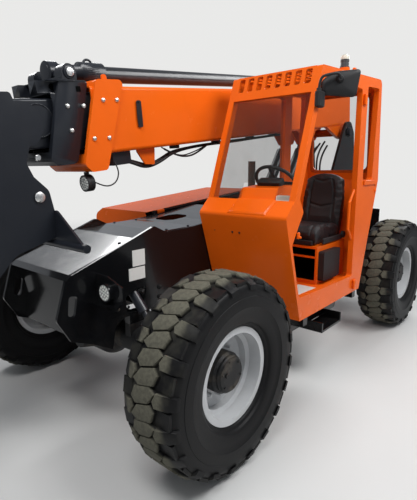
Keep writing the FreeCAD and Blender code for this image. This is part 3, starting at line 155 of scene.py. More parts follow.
class Graph:
    """The node tree of a material or a world, and the one method that adds nodes to it."""

    def __init__(self, owner: bpy.types.Material | bpy.types.World) -> None:
        """Empty a tree.

        Args:
            owner: The material or world that has it.
        """
        owner.use_nodes = True
        self.tree = owner.node_tree
        self.tree.nodes.clear()

    def add(self, kind: str, settings: dict[str, object] | None = None,
            values: dict[int | str, Value] | None = None, out: int | str = 0) -> Tap:
        """Add a node.

        Args:
            kind: The node's type.
            settings: Properties that are set first.
            values: Numbers, tuples or taps for its input sockets, by name or place.
            out: The output that is returned.

        Returns:
            The chosen output.
        """
        node = self.tree.nodes.new(kind)
        for key, value in (settings or {}).items():
            setattr(node, key, value)
        for key, value in (values or {}).items():
            socket = node.inputs[key]
            if isinstance(value, Tap):
                self.tree.links.new(value.socket, socket)
            else:
                socket.default_value = (*value, 1.0) if socket.type == "RGBA" else value
        return Tap(self, node.outputs[out])

    def close(self, shader: Tap, kind: str = "ShaderNodeOutputMaterial") -> None:
        """Join a shader to the tree's output."""
        node = self.tree.nodes.new(kind)
        self.tree.links.new(shader.socket, node.inputs["Surface"])

    def place(self) -> Tap:
        """The surface's place on its own body."""
        return self.add("ShaderNodeTexCoord", out="Object")

    def axis(self, name: str) -> Tap:
        """One of the place's X, Y and Z; Z is the height above the ground at rest."""
        return self.add("ShaderNodeSeparateXYZ", None, {0: self.place()}, out=name)

    def ray(self, name: str) -> Tap:
        """1 for light rays of that kind."""
        return self.add("ShaderNodeLightPath", out="Is %s Ray" % name)

    def noise(self, scale: float, detail: float = 3.0, roughness: float = 0.55, stretch: Point | None = None) -> Tap:
        """Fractal noise between about 0.3 and 0.7.

        Args:
            scale: Features per metre.
            detail: Octaves.
            roughness: Weight of the finer octaves.
            stretch: Factors on the three axes.

        Returns:
            The noise.
        """
        place = self.place()
        if stretch:
            place = self.add("ShaderNodeMapping", None, {"Vector": place, "Scale": stretch})
        rows = {"Vector": place, "Scale": scale, "Detail": detail, "Roughness": roughness}
        return self.add("ShaderNodeTexNoise", None, rows)

    def mix(self, mask: Value, first: Value, second: Value) -> Tap:
        """Mix two colours by the share of the second."""
        return self.add("ShaderNodeMix", {"data_type": "RGBA"}, {0: mask, 6: first, 7: second}, out=2)

    def bump(self, height: Tap, depth: float, strength: float, under: Tap | None = None) -> Tap:
        """A surface normal that follows a height.

        Args:
            height: The height, 0 to 1.
            depth: Depth of a full step, in metres.
            strength: Share of the effect.
            under: Normal below this one.

        Returns:
            The normal.
        """
        values: dict[int | str, Value] = {"Height": height, "Distance": depth, "Strength": strength}
        if under is not None:
            values["Normal"] = under
        return self.add("ShaderNodeBump", None, values)

    def surface(self, **values: Value) -> Tap:
        """A Principled shader from its inputs, with underscores for spaces."""
        return self.add("ShaderNodeBsdfPrincipled", None, {key.replace("_", " "): v for key, v in values.items()})


def scaled(colour: Colour, factor: float) -> Colour:
    """A colour made lighter or darker, up to white."""
    return tuple(min(1.0, c * factor) for c in colour)


@dataclass(frozen=True)
class Finish:
    """A named material made of shader maths."""

    name: str

    def shade(self, g: Graph) -> Tap:
        """The shader; each finish has its own."""
        raise NotImplementedError

    def build(self) -> bpy.types.Material:
        """Make the material.

        Returns:
            The material.
        """
        material = bpy.data.materials.new(self.name)
        g = Graph(material)
        g.close(self.shade(g))
        return material


@dataclass(frozen=True)
class PaintFinish(Finish):
    """Sprayed machine paint with a faint orange peel, thin dust low down and slightly uneven gloss."""

    colour: Colour
    roughness: float = 0.22
    coat: float = 0.2
    specular: float = 0.4
    dust: float = 0.06
    dust_colour: Colour = (0.23, 0.20, 0.17)
    dust_low: float = 0.35
    dust_top: float = 1.1

    def shade(self, g: Graph) -> Tap:
        """Paint under dust.

        Args:
            g: The graph that it adds to.

        Returns:
            The shader.
        """
        broad, film = g.noise(2.2, 3.0), g.noise(9.0, 4.0, 0.6)
        colour = g.mix(broad.between(0.35, 0.7), self.colour, scaled(self.colour, 0.92))
        low = 1.0 - g.axis("Z").between(self.dust_low, self.dust_top)
        dust = low * film.between(0.35, 0.75) * self.dust
        return g.surface(
            Base_Color=g.mix(dust, colour, self.dust_colour), Coat_Roughness=0.05,
            Roughness=self.roughness + film.between(0.4, 0.75) * 0.06 + dust * 0.6,
            Coat_Weight=self.coat * (1.0 - dust), Specular_IOR_Level=self.specular,
            Normal=g.bump(g.noise(70.0, 2.0), 0.0004, 0.06))


@dataclass(frozen=True)
class CastFinish(Finish):
    """Rough casting under thin paint, with dried mud in its hollows and painted glints on its grain."""

    colour: Colour
    mud: float = 0.12
    mud_colour: Colour = (0.20, 0.165, 0.125)
    roughness: float = 0.5

    def shade(self, g: Graph) -> Tap:
        """Casting, mud, grain and painted glints on the grain.

        Args:
            g: The graph that it adds to.

        Returns:
            The shader.
        """
        grain = g.noise(170.0, 4.0, 0.6)
        mask = g.noise(11.0, 5.0, 0.62).between(0.5, 0.68) * self.mud
        colour = g.mix(mask, self.colour, self.mud_colour)
        # Painted highlight: the grain's high spots are lightened towards 1.5 times the paint's colour as glints.
        return g.surface(
            Base_Color=g.mix(grain.between(0.35, 0.7) * 0.2, colour, scaled(self.colour, 1.5)),
            Roughness=self.roughness + mask * 0.4, Specular_IOR_Level=0.3, Normal=g.bump(grain, 0.0008, 0.3))


@dataclass(frozen=True)
class MetalFinish(Finish):
    """Bare metal: chrome, machined steel or zinc, by its roughness."""

    colour: Colour
    roughness: float
    streak: float = 0.08
    grime: float = 0.2

    def shade(self, g: Graph) -> Tap:
        """Metal with streaks and grime.

        Args:
            g: The graph that it adds to.

        Returns:
            The shader.
        """
        line = g.noise(60.0, 3.0, 0.5, (1.0, 12.0, 12.0))
        grime = g.noise(24.0, 4.0, 0.6).between(0.5, 0.72) * self.grime
        return g.surface(
            Base_Color=g.mix(grime, self.colour, scaled(self.colour, 0.45)), Metallic=1.0,
            Roughness=self.roughness + line * self.streak + grime, Normal=g.bump(line, 0.0002, 0.3))


@dataclass(frozen=True)
class RubberFinish(Finish):
    """Tyre rubber: near-black flanks and dusty olive-grey tread, by the distance from the axles."""

    shift: float
    colour: Colour = (0.0075, 0.0075, 0.008)
    worn: Colour = (0.120, 0.115, 0.088)
    tread_radius: float = 0.556

    def shade(self, g: Graph) -> Tap:
        """Rubber, smudges on the flanks and dust on the tread.

        Args:
            g: The graph that it adds to.

        Returns:
            The shader.
        """
        middle = self.shift - WHEELBASE / 2
        along = g.add("ShaderNodeMath", {"operation": "ABSOLUTE"}, {0: g.axis("X") - middle}) - WHEELBASE / 2
        up = g.axis("Z") - AXLE_Z
        radius = (along * along + up * up) ** 0.5
        fine, broad = g.noise(55.0, 5.0, 0.65), g.noise(7.0, 3.0, 0.6)
        tread = radius.between(self.tread_radius - 0.004, self.tread_radius + 0.010)
        smudge = radius.between(0.50, 0.56) * broad.between(0.45, 0.68) * 0.2
        dust = tread * (0.62 + fine.between(0.3, 0.7) * 0.38) + (1.0 - tread) * smudge
        return g.surface(
            Base_Color=g.mix(dust, self.colour, self.worn), Roughness=0.42 + dust * 0.45 + fine * 0.08,
            Specular_IOR_Level=0.15, Normal=g.bump(fine, 0.0012, 0.45))


@dataclass(frozen=True)
class PlasticFinish(Finish):
    """Moulded plastic or rubber with a fine grain."""

    colour: Colour
    roughness: float = 0.5
    grain: float = 0.0005
    grain_scale: float = 420.0
    specular: float = 0.35

    def shade(self, g: Graph) -> Tap:
        """Plastic with lighter patches.

        Args:
            g: The graph that it adds to.

        Returns:
            The shader.
        """
        patch = g.noise(9.0, 3.0)
        return g.surface(
            Base_Color=g.mix(patch.between(0.35, 0.7) * 0.25, self.colour, scaled(self.colour, 1.4)),
            Roughness=self.roughness + patch * 0.12, Specular_IOR_Level=self.specular,
            Normal=g.bump(g.noise(self.grain_scale, 2.0), self.grain, 0.4))


@dataclass(frozen=True)
class VinylFinish(Finish):
    """Vinyl of the seat, with a leather grain."""

    colour: Colour = (0.006, 0.006, 0.007)

    def shade(self, g: Graph) -> Tap:
        """Vinyl with creases over soft dents.

        Args:
            g: The graph that it adds to.

        Returns:
            The shader.
        """
        rows = {"Vector": g.place(), "Scale": 420.0}
        crease = g.add("ShaderNodeTexVoronoi", {"feature": "DISTANCE_TO_EDGE"}, rows).between(0.0, 0.25)
        soft = g.noise(14.0, 3.0)
        return g.surface(
            Base_Color=g.mix(soft.between(0.4, 0.7) * 0.5, self.colour, scaled(self.colour, 2.0)),
            Roughness=0.40 + soft * 0.2, Normal=g.bump(crease, 0.0005, 0.6, g.bump(soft, 0.004, 0.35)))


@dataclass(frozen=True)
class GlassFinish(Finish):
    """Dark tinted pane that lets light and shadows through, with a thin film of dirt."""

    tint: Colour = (0.030, 0.036, 0.034)
    alpha: float = 0.16

    def shade(self, g: Graph) -> Tap:
        """Glass under its film.

        Args:
            g: The graph that it adds to.

        Returns:
            The shader.
        """
        film = g.noise(5.0, 4.0).between(0.45, 0.75)
        return g.surface(Base_Color=self.tint, Roughness=0.03 + film * 0.05, Alpha=self.alpha + film * 0.02,
                         Specular_IOR_Level=0.2)


@dataclass(frozen=True)
class BeaconFinish(Finish):
    """Beacon housing below and its pale dome above a level."""

    body: Colour
    dome: Colour
    level: float

    def shade(self, g: Graph) -> Tap:
        """Housing and dome.

        Args:
            g: The graph that it adds to.

        Returns:
            The shader.
        """
        dome = g.axis("Z").between(self.level - 0.001, self.level + 0.001)
        return g.surface(Base_Color=g.mix(dome, self.body, self.dome), Roughness=0.42 - dome * 0.15,
                         Specular_IOR_Level=0.35)


@dataclass(frozen=True)
class LensFinish(Finish):
    """Lamp lens that glows a little."""

    colour: Colour
    glow: float = 0.0

    def shade(self, g: Graph) -> Tap:
        """Rippled lens.

        Args:
            g: The graph that it adds to.

        Returns:
            The shader.
        """
        ripple = g.noise(160.0, 2.0)
        return g.surface(
            Base_Color=g.mix(ripple.between(0.4, 0.65) * 0.3, self.colour, scaled(self.colour, 0.7)),
            Roughness=0.12 + ripple * 0.05, Coat_Weight=0.4, Coat_Roughness=0.03, Emission_Color=self.colour,
            Emission_Strength=self.glow, Normal=g.bump(ripple, 0.0006, 0.5))


@dataclass(frozen=True)
class FloorFinish(Finish):
    """Pale floor that keeps the machine's shadow and fades into the surroundings far out."""

    colour: Colour = (0.62, 0.62, 0.61)
    middle_x: float = -0.8
    near: float = 2.0
    far: float = 12.0

    def shade(self, g: Graph) -> Tap:
        """Floor near the machine, plain light far out for the camera.

        Args:
            g: The graph that it adds to.

        Returns:
            The shader.
        """
        patch = g.noise(1.3, 3.0).between(0.3, 0.75)
        colour = g.mix(patch * 0.12, self.colour, scaled(self.colour, 0.85))
        shader = g.surface(Base_Color=colour, Roughness=0.55 + patch * 0.1)
        pale = g.add("ShaderNodeEmission", None, {"Color": PALE, "Strength": PALE_LIGHT})
        x, y = g.axis("X") - self.middle_x, g.axis("Y")
        away = ((x * x + y * y) ** 0.5).between(self.near, self.far)
        return g.add("ShaderNodeMixShader", None, {0: away * g.ray("Camera"), 1: shader, 2: pale})


@dataclass
class Site:
    """The machine's axes in the frame, and the boom's own axes when it is lowered."""

    shift: float = 0.0
    pivot: tuple[float, float] = (-3.4, 2.13)
    drop: float = math.radians(6.7)

    def read(self) -> "Site":
        """Find the front axle from the left front rim.

        Returns:
            The site itself.
        """
        low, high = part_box("rim_fl")
        self.shift = (low.x + high.x) / 2
        return self

    def at(self, x: float, y: float, z: float) -> Vector:
        """A place in the frame."""
        return Vector((x + self.shift, y, z))

    def boom(self, along: float, y: float, up: float) -> Vector:
        """A place given along and above the lowered boom's pivot."""
        c, s = math.cos(self.drop), math.sin(self.drop)
        return self.at(self.pivot[0] + along * c + up * s, y, self.pivot[1] - along * s + up * c)

    def boom_way(self) -> Vector:
        """Direction of the lowered boom."""
        return Vector((math.cos(self.drop), 0.0, -math.sin(self.drop)))

    def boom_up(self) -> Vector:
        """Direction away from the top of the lowered boom."""
        return Vector((math.sin(self.drop), 0.0, math.cos(self.drop)))

    def boom_turn(self) -> Matrix:
        """Rotation that lays a block along the lowered boom."""
        return Matrix.Rotation(self.drop, 3, "Y")


class Finishes:
    """Every finish of the machine, made once."""

    def __init__(self, site: Site) -> None:
        """Build the materials.

        Args:
            site: The machine's axes, which the rubber follows.
        """
        rows = [
            PaintFinish("orange_paint", ORANGE, roughness=0.22, coat=0.06, specular=0.16),
            PaintFinish("black_paint", SLATE, roughness=0.30, coat=0.1, specular=0.35),
            PaintFinish("frame_black", BLACK, roughness=0.16, coat=0.12, specular=0.3, dust=0.04),
            PaintFinish("deck_black", BLACK, roughness=0.2, coat=0.8, specular=0.8, dust=0.04),
            PaintFinish("silver_paint", (0.55, 0.56, 0.57), roughness=0.34, coat=0.15, dust=0.08),
            PaintFinish("sign_white", (0.72, 0.72, 0.69), roughness=0.4, coat=0.2),
            PaintFinish("sign_yellow", (0.78, 0.50, 0.04), roughness=0.4, coat=0.2),
            PaintFinish("lamp_red", (0.35, 0.012, 0.01), roughness=0.18, coat=0.8),
            CastFinish("axle_black", (0.010, 0.010, 0.0105), mud=0.3),
            CastFinish("engine_cast", (0.075, 0.078, 0.08), mud=0.2),
            CastFinish("exhaust_steel", (0.12, 0.10, 0.085), mud=0.5, mud_colour=(0.16, 0.07, 0.035), roughness=0.6),
            MetalFinish("chrome_rod", (0.78, 0.79, 0.80), 0.07, 0.03, 0.06),
            MetalFinish("zinc_bolt", (0.66, 0.66, 0.64), 0.28),
            MetalFinish("bright_pin", (0.80, 0.80, 0.79), 0.22),
            MetalFinish("mirror_glass", (0.85, 0.86, 0.87), 0.02, 0.0, 0.02),
            PlasticFinish("black_plastic", (0.010, 0.010, 0.011)),
            # Painted shade: near-black matt finish for the dark insides of the seat box pockets, the step's hole and
            # the collar's recess.
            PlasticFinish("painted_shade_black", (0.002, 0.002, 0.002), roughness=0.7, specular=0.03),
            PlasticFinish("hose_rubber", (0.009, 0.009, 0.010), roughness=0.42, grain_scale=300.0),
            PlasticFinish("tank_white", (0.66, 0.64, 0.56), roughness=0.4, grain=0.0002),
            RubberFinish("tyre_rubber", site.shift),
            VinylFinish("seat_vinyl"),
            GlassFinish("clear_glass"),
            BeaconFinish("beacon_body", (0.045, 0.045, 0.048), (0.60, 0.57, 0.48), DOME_Z),
            LensFinish("lamp_lens", (0.34, 0.35, 0.34)),
            LensFinish("lamp_cell", (0.70, 0.71, 0.67), 0.04),
            FloorFinish("floor"),
        ]
        self.made = {row.name: row.build() for row in rows}

    def __getitem__(self, name: str) -> bpy.types.Material:
        """The finish of that name."""
        return self.made[name]


def circle(centre: Vector, first: Vector, second: Vector, radius: float, count: int, start: float = 0.0,
           span: float = FULL_TURN) -> list[Vector]:
    """Places round a circle.

    Args:
        centre: Its middle.
        first: Direction of the angle 0.
        second: Direction of a quarter turn.
        radius: Its radius.
        count: Number of places.
        start: Angle of the first place.
        span: Angle that they share out.

    Returns:
        The places.
    """
    angles = [start + span * k / count for k in range(count)]
    return [centre + (first * math.cos(a) + second * math.sin(a)) * radius for a in angles]


class Shape:
    """A mesh that grows form by form in the frame's axes."""

    def __init__(self) -> None:
        """Start with nothing."""
        self.points: list[Vector] = []
        self.faces: list[tuple[int, ...]] = []

    def rings(self, rings: Sequence[Sequence[Vector]], ends: bool = True) -> None:
        """Skin closed rings of equal length one after the other.

        Args:
            rings: The rings.
            ends: Whether the first and last are closed by a face.
        """
        start, count = len(self.points), len(rings[0])
        for i, ring in enumerate(rings):
            self.points.extend(ring)
            if i:
                a, b = start + (i - 1) * count, start + i * count
                self.faces.extend((a + k, a + (k + 1) % count, b + (k + 1) % count, b + k) for k in range(count))
        if ends:
            last = len(self.points) - count
            self.faces += [tuple(range(start + count - 1, start - 1, -1)), tuple(range(last, last + count))]

    def lathe(self, centre: Vector, axis: Vector, profile: Rows, sides: int = 24, ends: bool = True) -> None:
        """Turn a profile about an axis.

        Args:
            centre: Foot of the axis.
            axis: Its direction.
            profile: Rows of radius and height along the axis.
            sides: Number of steps round.
            ends: Whether both ends are closed.
        """
        way = axis.normalized()
        side = way.orthogonal().normalized()
        self.rings([circle(centre + way * height, side, way.cross(side), radius, sides)
                    for radius, height in profile], ends)

    def bolt(self, centre: Vector, axis: Vector, size: float = 0.012) -> None:
        """A flanged hexagon bolt head of that radius standing on a face."""
        self.lathe(centre, axis, [(size * 1.35, 0.0), (size * 1.35, size * 0.25), (size * 1.05, size * 0.35)], 20)
        self.lathe(centre, axis, [(size, size * 0.3), (size, size * 1.0), (size * 0.82, size * 1.2)], 6)

    def dome(self, centre: Vector, axis: Vector, radius: float, height: float, sides: int = 20) -> None:
        """A low dome on a face."""
        rows = [(radius * math.cos(a), height * math.sin(a)) for a in (k * math.pi / 12 for k in range(6))]
        self.lathe(centre, axis, rows, sides)

    def block(self, centre: Vector, size: Point, edge: float = 0.003, turn: Matrix | None = None) -> None:
        """A block with chamfered edges.

        Args:
            centre: Its middle.
            size: Its three sides.
            edge: Width of the chamfer, up to a quarter of the thinnest side.
            turn: Rotation about the middle.
        """
        hx, hy, hz = (s / 2 for s in size)
        c = min(edge, min(size) * EDGE_SHARE)
        spin = turn or Matrix.Identity(3)
        rings = []
        for z, inset in ((-hz, c), (-hz + c, 0.0), (hz - c, 0.0), (hz, c)):
            x, y = hx - inset, hy - inset
            rows = [(-x + c, -y), (x - c, -y), (x, -y + c), (x, y - c), (x - c, y), (-x + c, y), (-x, y - c),
                    (-x, -y + c)]
            rings.append([centre + spin @ Vector((a, b, z)) for a, b in rows])
        self.rings(rings)

    def mesh(self, name: str) -> bpy.types.Mesh:
        """Make a mesh of everything so far.

        Args:
            name: Its name.

        Returns:
            The mesh.
        """
        mesh = bpy.data.meshes.new(name)
        mesh.from_pydata([tuple(p) for p in self.points], [], self.faces)
        return mesh


def linked(name: str, data: bpy.types.ID) -> bpy.types.Object:
    """Make an object and link it to the scene.

    Args:
        name: Its name.
        data: Its mesh, curve, light or camera.

    Returns:
        The object.
    """
    piece = bpy.data.objects.new(name, data)
    bpy.context.scene.collection.objects.link(piece)
    return piece


def smooth(mesh: bpy.types.Mesh, angle: float) -> None:
    """Shade smooth every edge that is flatter than an angle in degrees."""
    mesh.shade_smooth()
    mesh.set_sharp_from_angle(angle=math.radians(angle))


def bake(piece: bpy.types.Object) -> None:
    """Keep what a piece's modifiers make and drop them.

    Args:
        piece: The piece.
    """
    graph = bpy.context.evaluated_depsgraph_get()
    made = bpy.data.meshes.new_from_object(piece.evaluated_get(graph))
    piece.modifiers.clear()
    piece.data = made


def rounded(corners: Rows, radius: float, steps: int = 6) -> Rows:
    """A flat outline with its corners drawn round.

    Args:
        corners: The sharp corners in order.
        radius: Distance from a corner at which its curve starts.
        steps: Pieces of each curve.

    Returns:
        The outline's points.
    """
    points, spots = [], [Vector(corner) for corner in corners]
    for i, corner in enumerate(spots):
        first, last = (corner + (spots[k % len(spots)] - corner).normalized() * radius for k in (i - 1, i + 1))
        for t in (k / steps for k in range(steps + 1)):
            points.append(tuple(first * (1 - t) ** 2 + corner * (2 * t * (1 - t)) + last * t ** 2))
    return points


@dataclass
class Assembly:
    """What every sub-assembly needs: the machine's axes, the finishes and ways to add pieces."""

    site: Site
    finishes: Finishes

    def put(self, shape: Shape, name: str, finish: str, body: Body | str = Body.CHASSIS, angle: float = 32.0,
            node: str | None = None) -> bpy.types.Object:
        """Turn a shape into a piece of the machine.

        Args:
            shape: The shape.
            name: The piece's name.
            finish: Name of its finish.
            body: The body that carries it.
            angle: Edges flatter than this angle, in degrees, are shaded smooth.
            node: The node that it stands for.

        Returns:
            The piece.
        """
        mesh = shape.mesh(name)
        mesh.validate()
        smooth(mesh, angle)
        mesh.materials.append(self.finishes[finish])
        piece = linked(name, mesh)
        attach(piece, body.value if isinstance(body, Body) else body)
        if node:
            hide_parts(node)
        log.info("%s: %d faces", name, len(shape.faces))
        return piece

    def trim(self, node: str, name: str, body: Body, cutter: Shape) -> None:
        """Put a copy of a node's form, without what lies in a shape, in the node's stead.

        Args:
            node: The node.
            name: Name of the copy.
            body: The body that carries it.
            cutter: The shape that is cut away.
        """
        tool = linked("cutter", cutter.mesh("cutter"))
        piece = linked(name, bpy.data.objects[node].data.copy())
        modifier = piece.modifiers.new("cut", "BOOLEAN")
        modifier.operation, modifier.object, modifier.solver = "DIFFERENCE", tool, "EXACT"
        bake(piece)
        bpy.data.objects.remove(tool)
        smooth(piece.data, CAD_SMOOTH)
        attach(piece, body.value)
        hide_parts(node)
        log.info("%s: %d faces", name, len(piece.data.polygons))

    def lay(self, name: str, body: Body, radius: float, points: Sequence[Vector], finish: str = "hose_rubber") -> None:
        """Lay a hose, cable or bent rod along a smooth curve; it is clamped at both ends.

        Args:
            name: The piece's name.
            body: The body that carries it.
            radius: Its radius.
            points: Places that guide the curve.
            finish: Name of its finish.
        """
        curve = bpy.data.curves.new(name, "CURVE")
        curve.dimensions = "3D"
        line = curve.splines.new("NURBS")
        line.points.add(len(points) - 1)
        for spot, point in zip(line.points, points):
            spot.co = (*point, 1.0)
        line.order_u, line.use_endpoint_u, line.resolution_u = 3, True, 6
        curve.bevel_depth, curve.bevel_resolution, curve.use_fill_caps = radius, 3, True
        curve.materials.append(self.finishes[finish])
        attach(linked(name, curve), body.value)
        log.info("%s: %d points", name, len(points))


@dataclass
class Tyres(Assembly):
    """Four tyres with round carcasses, middle blocks, shoulder blocks and plain flanks.

    Outlines of blocks are rows of distance across and angle in degrees, the flank's of radius and distance across.
    """

    radius: float = 0.5725
    root: float = 0.5445
    flank_foot: float = 0.500
    flank_from: float = 0.17
    foot_sink: float = 0.006
    draft: float = 1.05
    pitches: int = 40
    casing_sides: int = 120
    shoulder_from: float = 0.100
    shoulder_width: float = 0.086
    shoulder_drop: float = 0.048
    edge_rows: Rows = ((1.0, 0.005), (0.965, 0.0012), (0.90, 0.0))
    rib: Rows = ((0.10, 4.3), (0.165, 4.3), (0.165, 13.2), (0.10, 13.2))
    rib_foot: float = 0.530
    rib_top: float = 0.5475
    middle_block: Rows = ((-0.078, -2.3), (-0.060, 3.0), (0.036, 5.1), (0.077, 2.6), (0.039, -3.0), (-0.046, -5.4))
    shoulder_block: Rows = ((0.068, -0.5), (0.088, 3.8), (0.150, 3.9), (0.185, 3.2), (0.186, -3.4), (0.150, -4.0),
                            (0.085, -3.6))
    flank: Rows = (
        (0.2550, 0.1170), (0.2800, 0.1172), (0.2835, 0.1215), (0.2850, 0.1310), (0.2920, 0.1395), (0.3010, 0.1420),
        (0.3060, 0.1470), (0.3080, 0.1550), (0.3140, 0.1600), (0.3300, 0.1655), (0.3600, 0.1730), (0.3990, 0.1790),
        (0.4020, 0.1815), (0.4300, 0.1820), (0.4600, 0.1812), (0.4620, 0.1785), (0.4920, 0.1770), (0.5080, 0.1745),
        (0.5260, 0.1640), (0.5400, 0.1400), (0.5445, 0.1100), (0.5455, 0.0550), (0.5460, 0.0))

    @staticmethod
    def spot(side: float, angle: float, radius: float) -> Vector:
        """A place on the tyre from its distance across, angle in degrees and radius."""
        a = math.radians(angle)
        return Vector((radius * math.cos(a), side, radius * math.sin(a)))

    def crown(self, side: float, drop: bool) -> float:
        """Radius of the tread's top at a distance across; drop lets it fall away over the shoulder."""
        past = max(0.0, abs(side) - self.shoulder_from) / self.shoulder_width
        return self.radius - past ** 1.4 * self.shoulder_drop if drop else self.radius - 0.0004

    def block(self, shape: Shape, rows: Rows, turn: int, angle: float, drop: bool) -> None:
        """One tread block with bevelled edges and drafted flanks that sink into the casing.

        Args:
            shape: The mesh that grows.
            rows: Its outline.
            turn: 1, or -1 for the block turned end for end.
            angle: Angle of its place on the tyre.
            drop: Whether its outer side falls away over the shoulder.
        """
        outline = [(turn * y, angle + turn * a) for y, a in rows]
        my, ma = (sum(row[i] for row in outline) / len(outline) for i in range(2))
        foot = []
        for y, a in outline:
            outer = abs(y) > self.flank_from
            foot.append(self.spot(my + (y - my) * (1.0 if outer else self.draft), ma + (a - ma) * self.draft,
                                  self.flank_foot if outer else self.root - self.foot_sink))
        rings = [foot]
        for scale, depth in self.edge_rows:
            spots = [(my + (y - my) * scale, ma + (a - ma) * scale) for y, a in outline]
            rings.append([self.spot(y, a, self.crown(y, drop) - depth) for y, a in spots])
        shape.rings(rings)

    def build(self) -> None:
        """Make the four tyres: blocks, ribs between them and the casing from bead to bead."""
        for tag, x, side in WHEELS:
            shape = Shape()
            for i in range(self.pitches):
                turn, angle = -1 if i % 2 == 0 else 1, i * 360.0 / self.pitches
                self.block(shape, self.middle_block, turn, angle, False)
                self.block(shape, self.shoulder_block, turn, angle, True)
                shape.rings([[self.spot(turn * y, angle + a, radius) for y, a in self.rib]
                             for radius in (self.rib_foot, self.rib_top)])
            rows = [*self.flank, *((r, -y) for r, y in reversed(self.flank[:-1])), self.flank[0]]
            sides = self.casing_sides
            shape.rings([[self.spot(y, 360.0 * k / sides, r) for k in range(sides)] for r, y in rows], False)
            centre = self.site.at(x, side * WHEEL_Y, AXLE_Z)
            shape.points = [centre + Vector((p.x, side * p.y, p.z)) for p in shape.points]
            if side > 0:
                shape.faces = [tuple(reversed(face)) for face in shape.faces]
            piece = self.put(shape, "tyre_tread_" + tag, "tyre_rubber", "wheel_" + tag, 38.0, "tyre_" + tag)


@dataclass
class Hubs(Assembly):
    """Wheel nuts, cap screws and drain plugs on the four wheels."""

    disc_y: float = WHEEL_Y - 0.010
    cap_y: float = WHEEL_Y + 0.094
    nuts: int = 10
    nut_circle: float = 0.145
    cap_bolts: int = 6
    cap_circle: float = 0.083
    stud: Rows = ((0.016, 0), (0.016, 0.004), (0.0105, 0.005), (0.0105, 0.034), (0.008, 0.036))
    nut: Rows = ((0.0135, 0.004), (0.0135, 0.020), (0.011, 0.023))
    cap: Rows = ((0.098, -0.001), (0.098, 0.003), (0.094, 0.005), (0.05, 0.006), (0.03, 0.0045))
    plug: Rows = ((0.014, 0.004), (0.014, 0.012), (0.011, 0.014))

    def build(self) -> None:
        """Make the fittings of each wheel."""
        for tag, x, side in WHEELS:
            nuts, cap, way = Shape(), Shape(), Y * side
            face = self.site.at(x, side * self.disc_y, AXLE_Z)
            for spot in circle(face, X, Z, self.nut_circle, self.nuts, math.pi / self.nuts):
                nuts.lathe(spot, way, self.stud, 14)
                nuts.lathe(spot, way, self.nut, 6)
            centre = self.site.at(x, side * self.cap_y, AXLE_Z)
            cap.lathe(centre, way, self.cap, 48)
            for spot in circle(centre + way * 0.004, X, Z, self.cap_circle, self.cap_bolts, 0.3):
                cap.bolt(spot, way, 0.0065)
            cap.lathe(centre + Vector((0.045, 0, 0.012)), way, self.plug, 8)
            self.put(nuts, "wheel_nuts_" + tag, "silver_paint", "wheel_" + tag)
            self.put(cap, "hub_cap_" + tag, "axle_black", "wheel_" + tag)


@dataclass
class Cushion:
    """One vinyl pad, inflated and sewn, that stands for its plain solid."""

    node: str
    channel: Callable[[Vector], float]
    form: Callable[[Vector], Vector] = Vector
    cap: float = 0.022
    shrink: float = 0.010
    voxel: float = 0.010
    pressure: float = 4.0
    frames: int = 20

    def build(self, finish: bpy.types.Material) -> None:
        """Remesh, inflate, sew and dress the pad.

        Args:
            finish: Its material.
        """
        low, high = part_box(self.node)
        centre = (low + high) / 2
        mesh = bpy.data.objects[self.node].data.copy()
        scale = [1 - 2 * self.shrink / (high[i] - low[i]) for i in range(3)]
        for vertex in mesh.vertices:
            vertex.co = centre + Vector([(vertex.co[i] - centre[i]) * scale[i] for i in range(3)])
        mesh.materials.clear()
        pad = linked(self.node + "_pad", mesh)
        self._apply(pad, "REMESH", mode="VOXEL", voxel_size=self.voxel)
        for vertex in pad.data.vertices:
            vertex.co = self.form(vertex.co)
        before = [v.co.copy() for v in pad.data.vertices]
        self._inflate(pad)
        for vertex, old in zip(pad.data.vertices, before):
            step = vertex.co - old
            if step.length > self.cap:
                vertex.co = old + step.normalized() * self.cap
        self._apply(pad, "SMOOTH", iterations=4, factor=0.5)
        self._apply(pad, "SUBSURF", levels=1, render_levels=1)
        normals = [v.normal.copy() for v in pad.data.vertices]
        for vertex, normal in zip(pad.data.vertices, normals):
            sewn = vertex.co - normal * self.channel(vertex.co)
            vertex.co = Vector([min(max(sewn[i], low[i]), high[i]) for i in range(3)])
        pad.data.shade_smooth()
        pad.data.materials.append(finish)
        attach(pad, Body.CHASSIS.value)
        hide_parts(self.node)
        log.info("%s: %d faces", pad.name, len(pad.data.polygons))

    @staticmethod
    def _apply(piece: bpy.types.Object, kind: str, **settings: object) -> None:
        """Add a modifier, set it and bake it into the mesh.

        Args:
            piece: The piece.
            kind: The modifier's type.
            **settings: Its properties.
        """
        modifier = piece.modifiers.new(kind.lower(), kind)
        for key, value in settings.items():
            setattr(modifier, key, value)
        bake(piece)

    def _inflate(self, piece: bpy.types.Object) -> None:
        """Blow the pad up as cloth for a few frames.

        Args:
            piece: The pad.
        """
        cloth = piece.modifiers.new("cloth", "CLOTH").settings
        cloth.use_pressure = True
        cloth.uniform_pressure_force = self.pressure
        cloth.effector_weights.gravity = 0.0
        cloth.quality = 5
        for frame in range(1, self.frames + 1):
            bpy.context.scene.frame_set(frame)
        bake(piece)
        bpy.context.scene.frame_set(1)


def groove(distance: float, width: float = 0.010) -> float:
    """A smooth groove, 1 in its middle."""
    return math.exp(-(distance / width) ** 2)


def hollow(offset: float) -> float:
    """A broad hollow, 1 in its middle and 0 one unit away."""
    return max(0.0, 1 - offset * offset)


def share(value: float, low: float, high: float) -> float:
    """How far a value is on its way from low to high, 0 to 1."""
    return min(1.0, max(0.0, (value - low) / (high - low)))


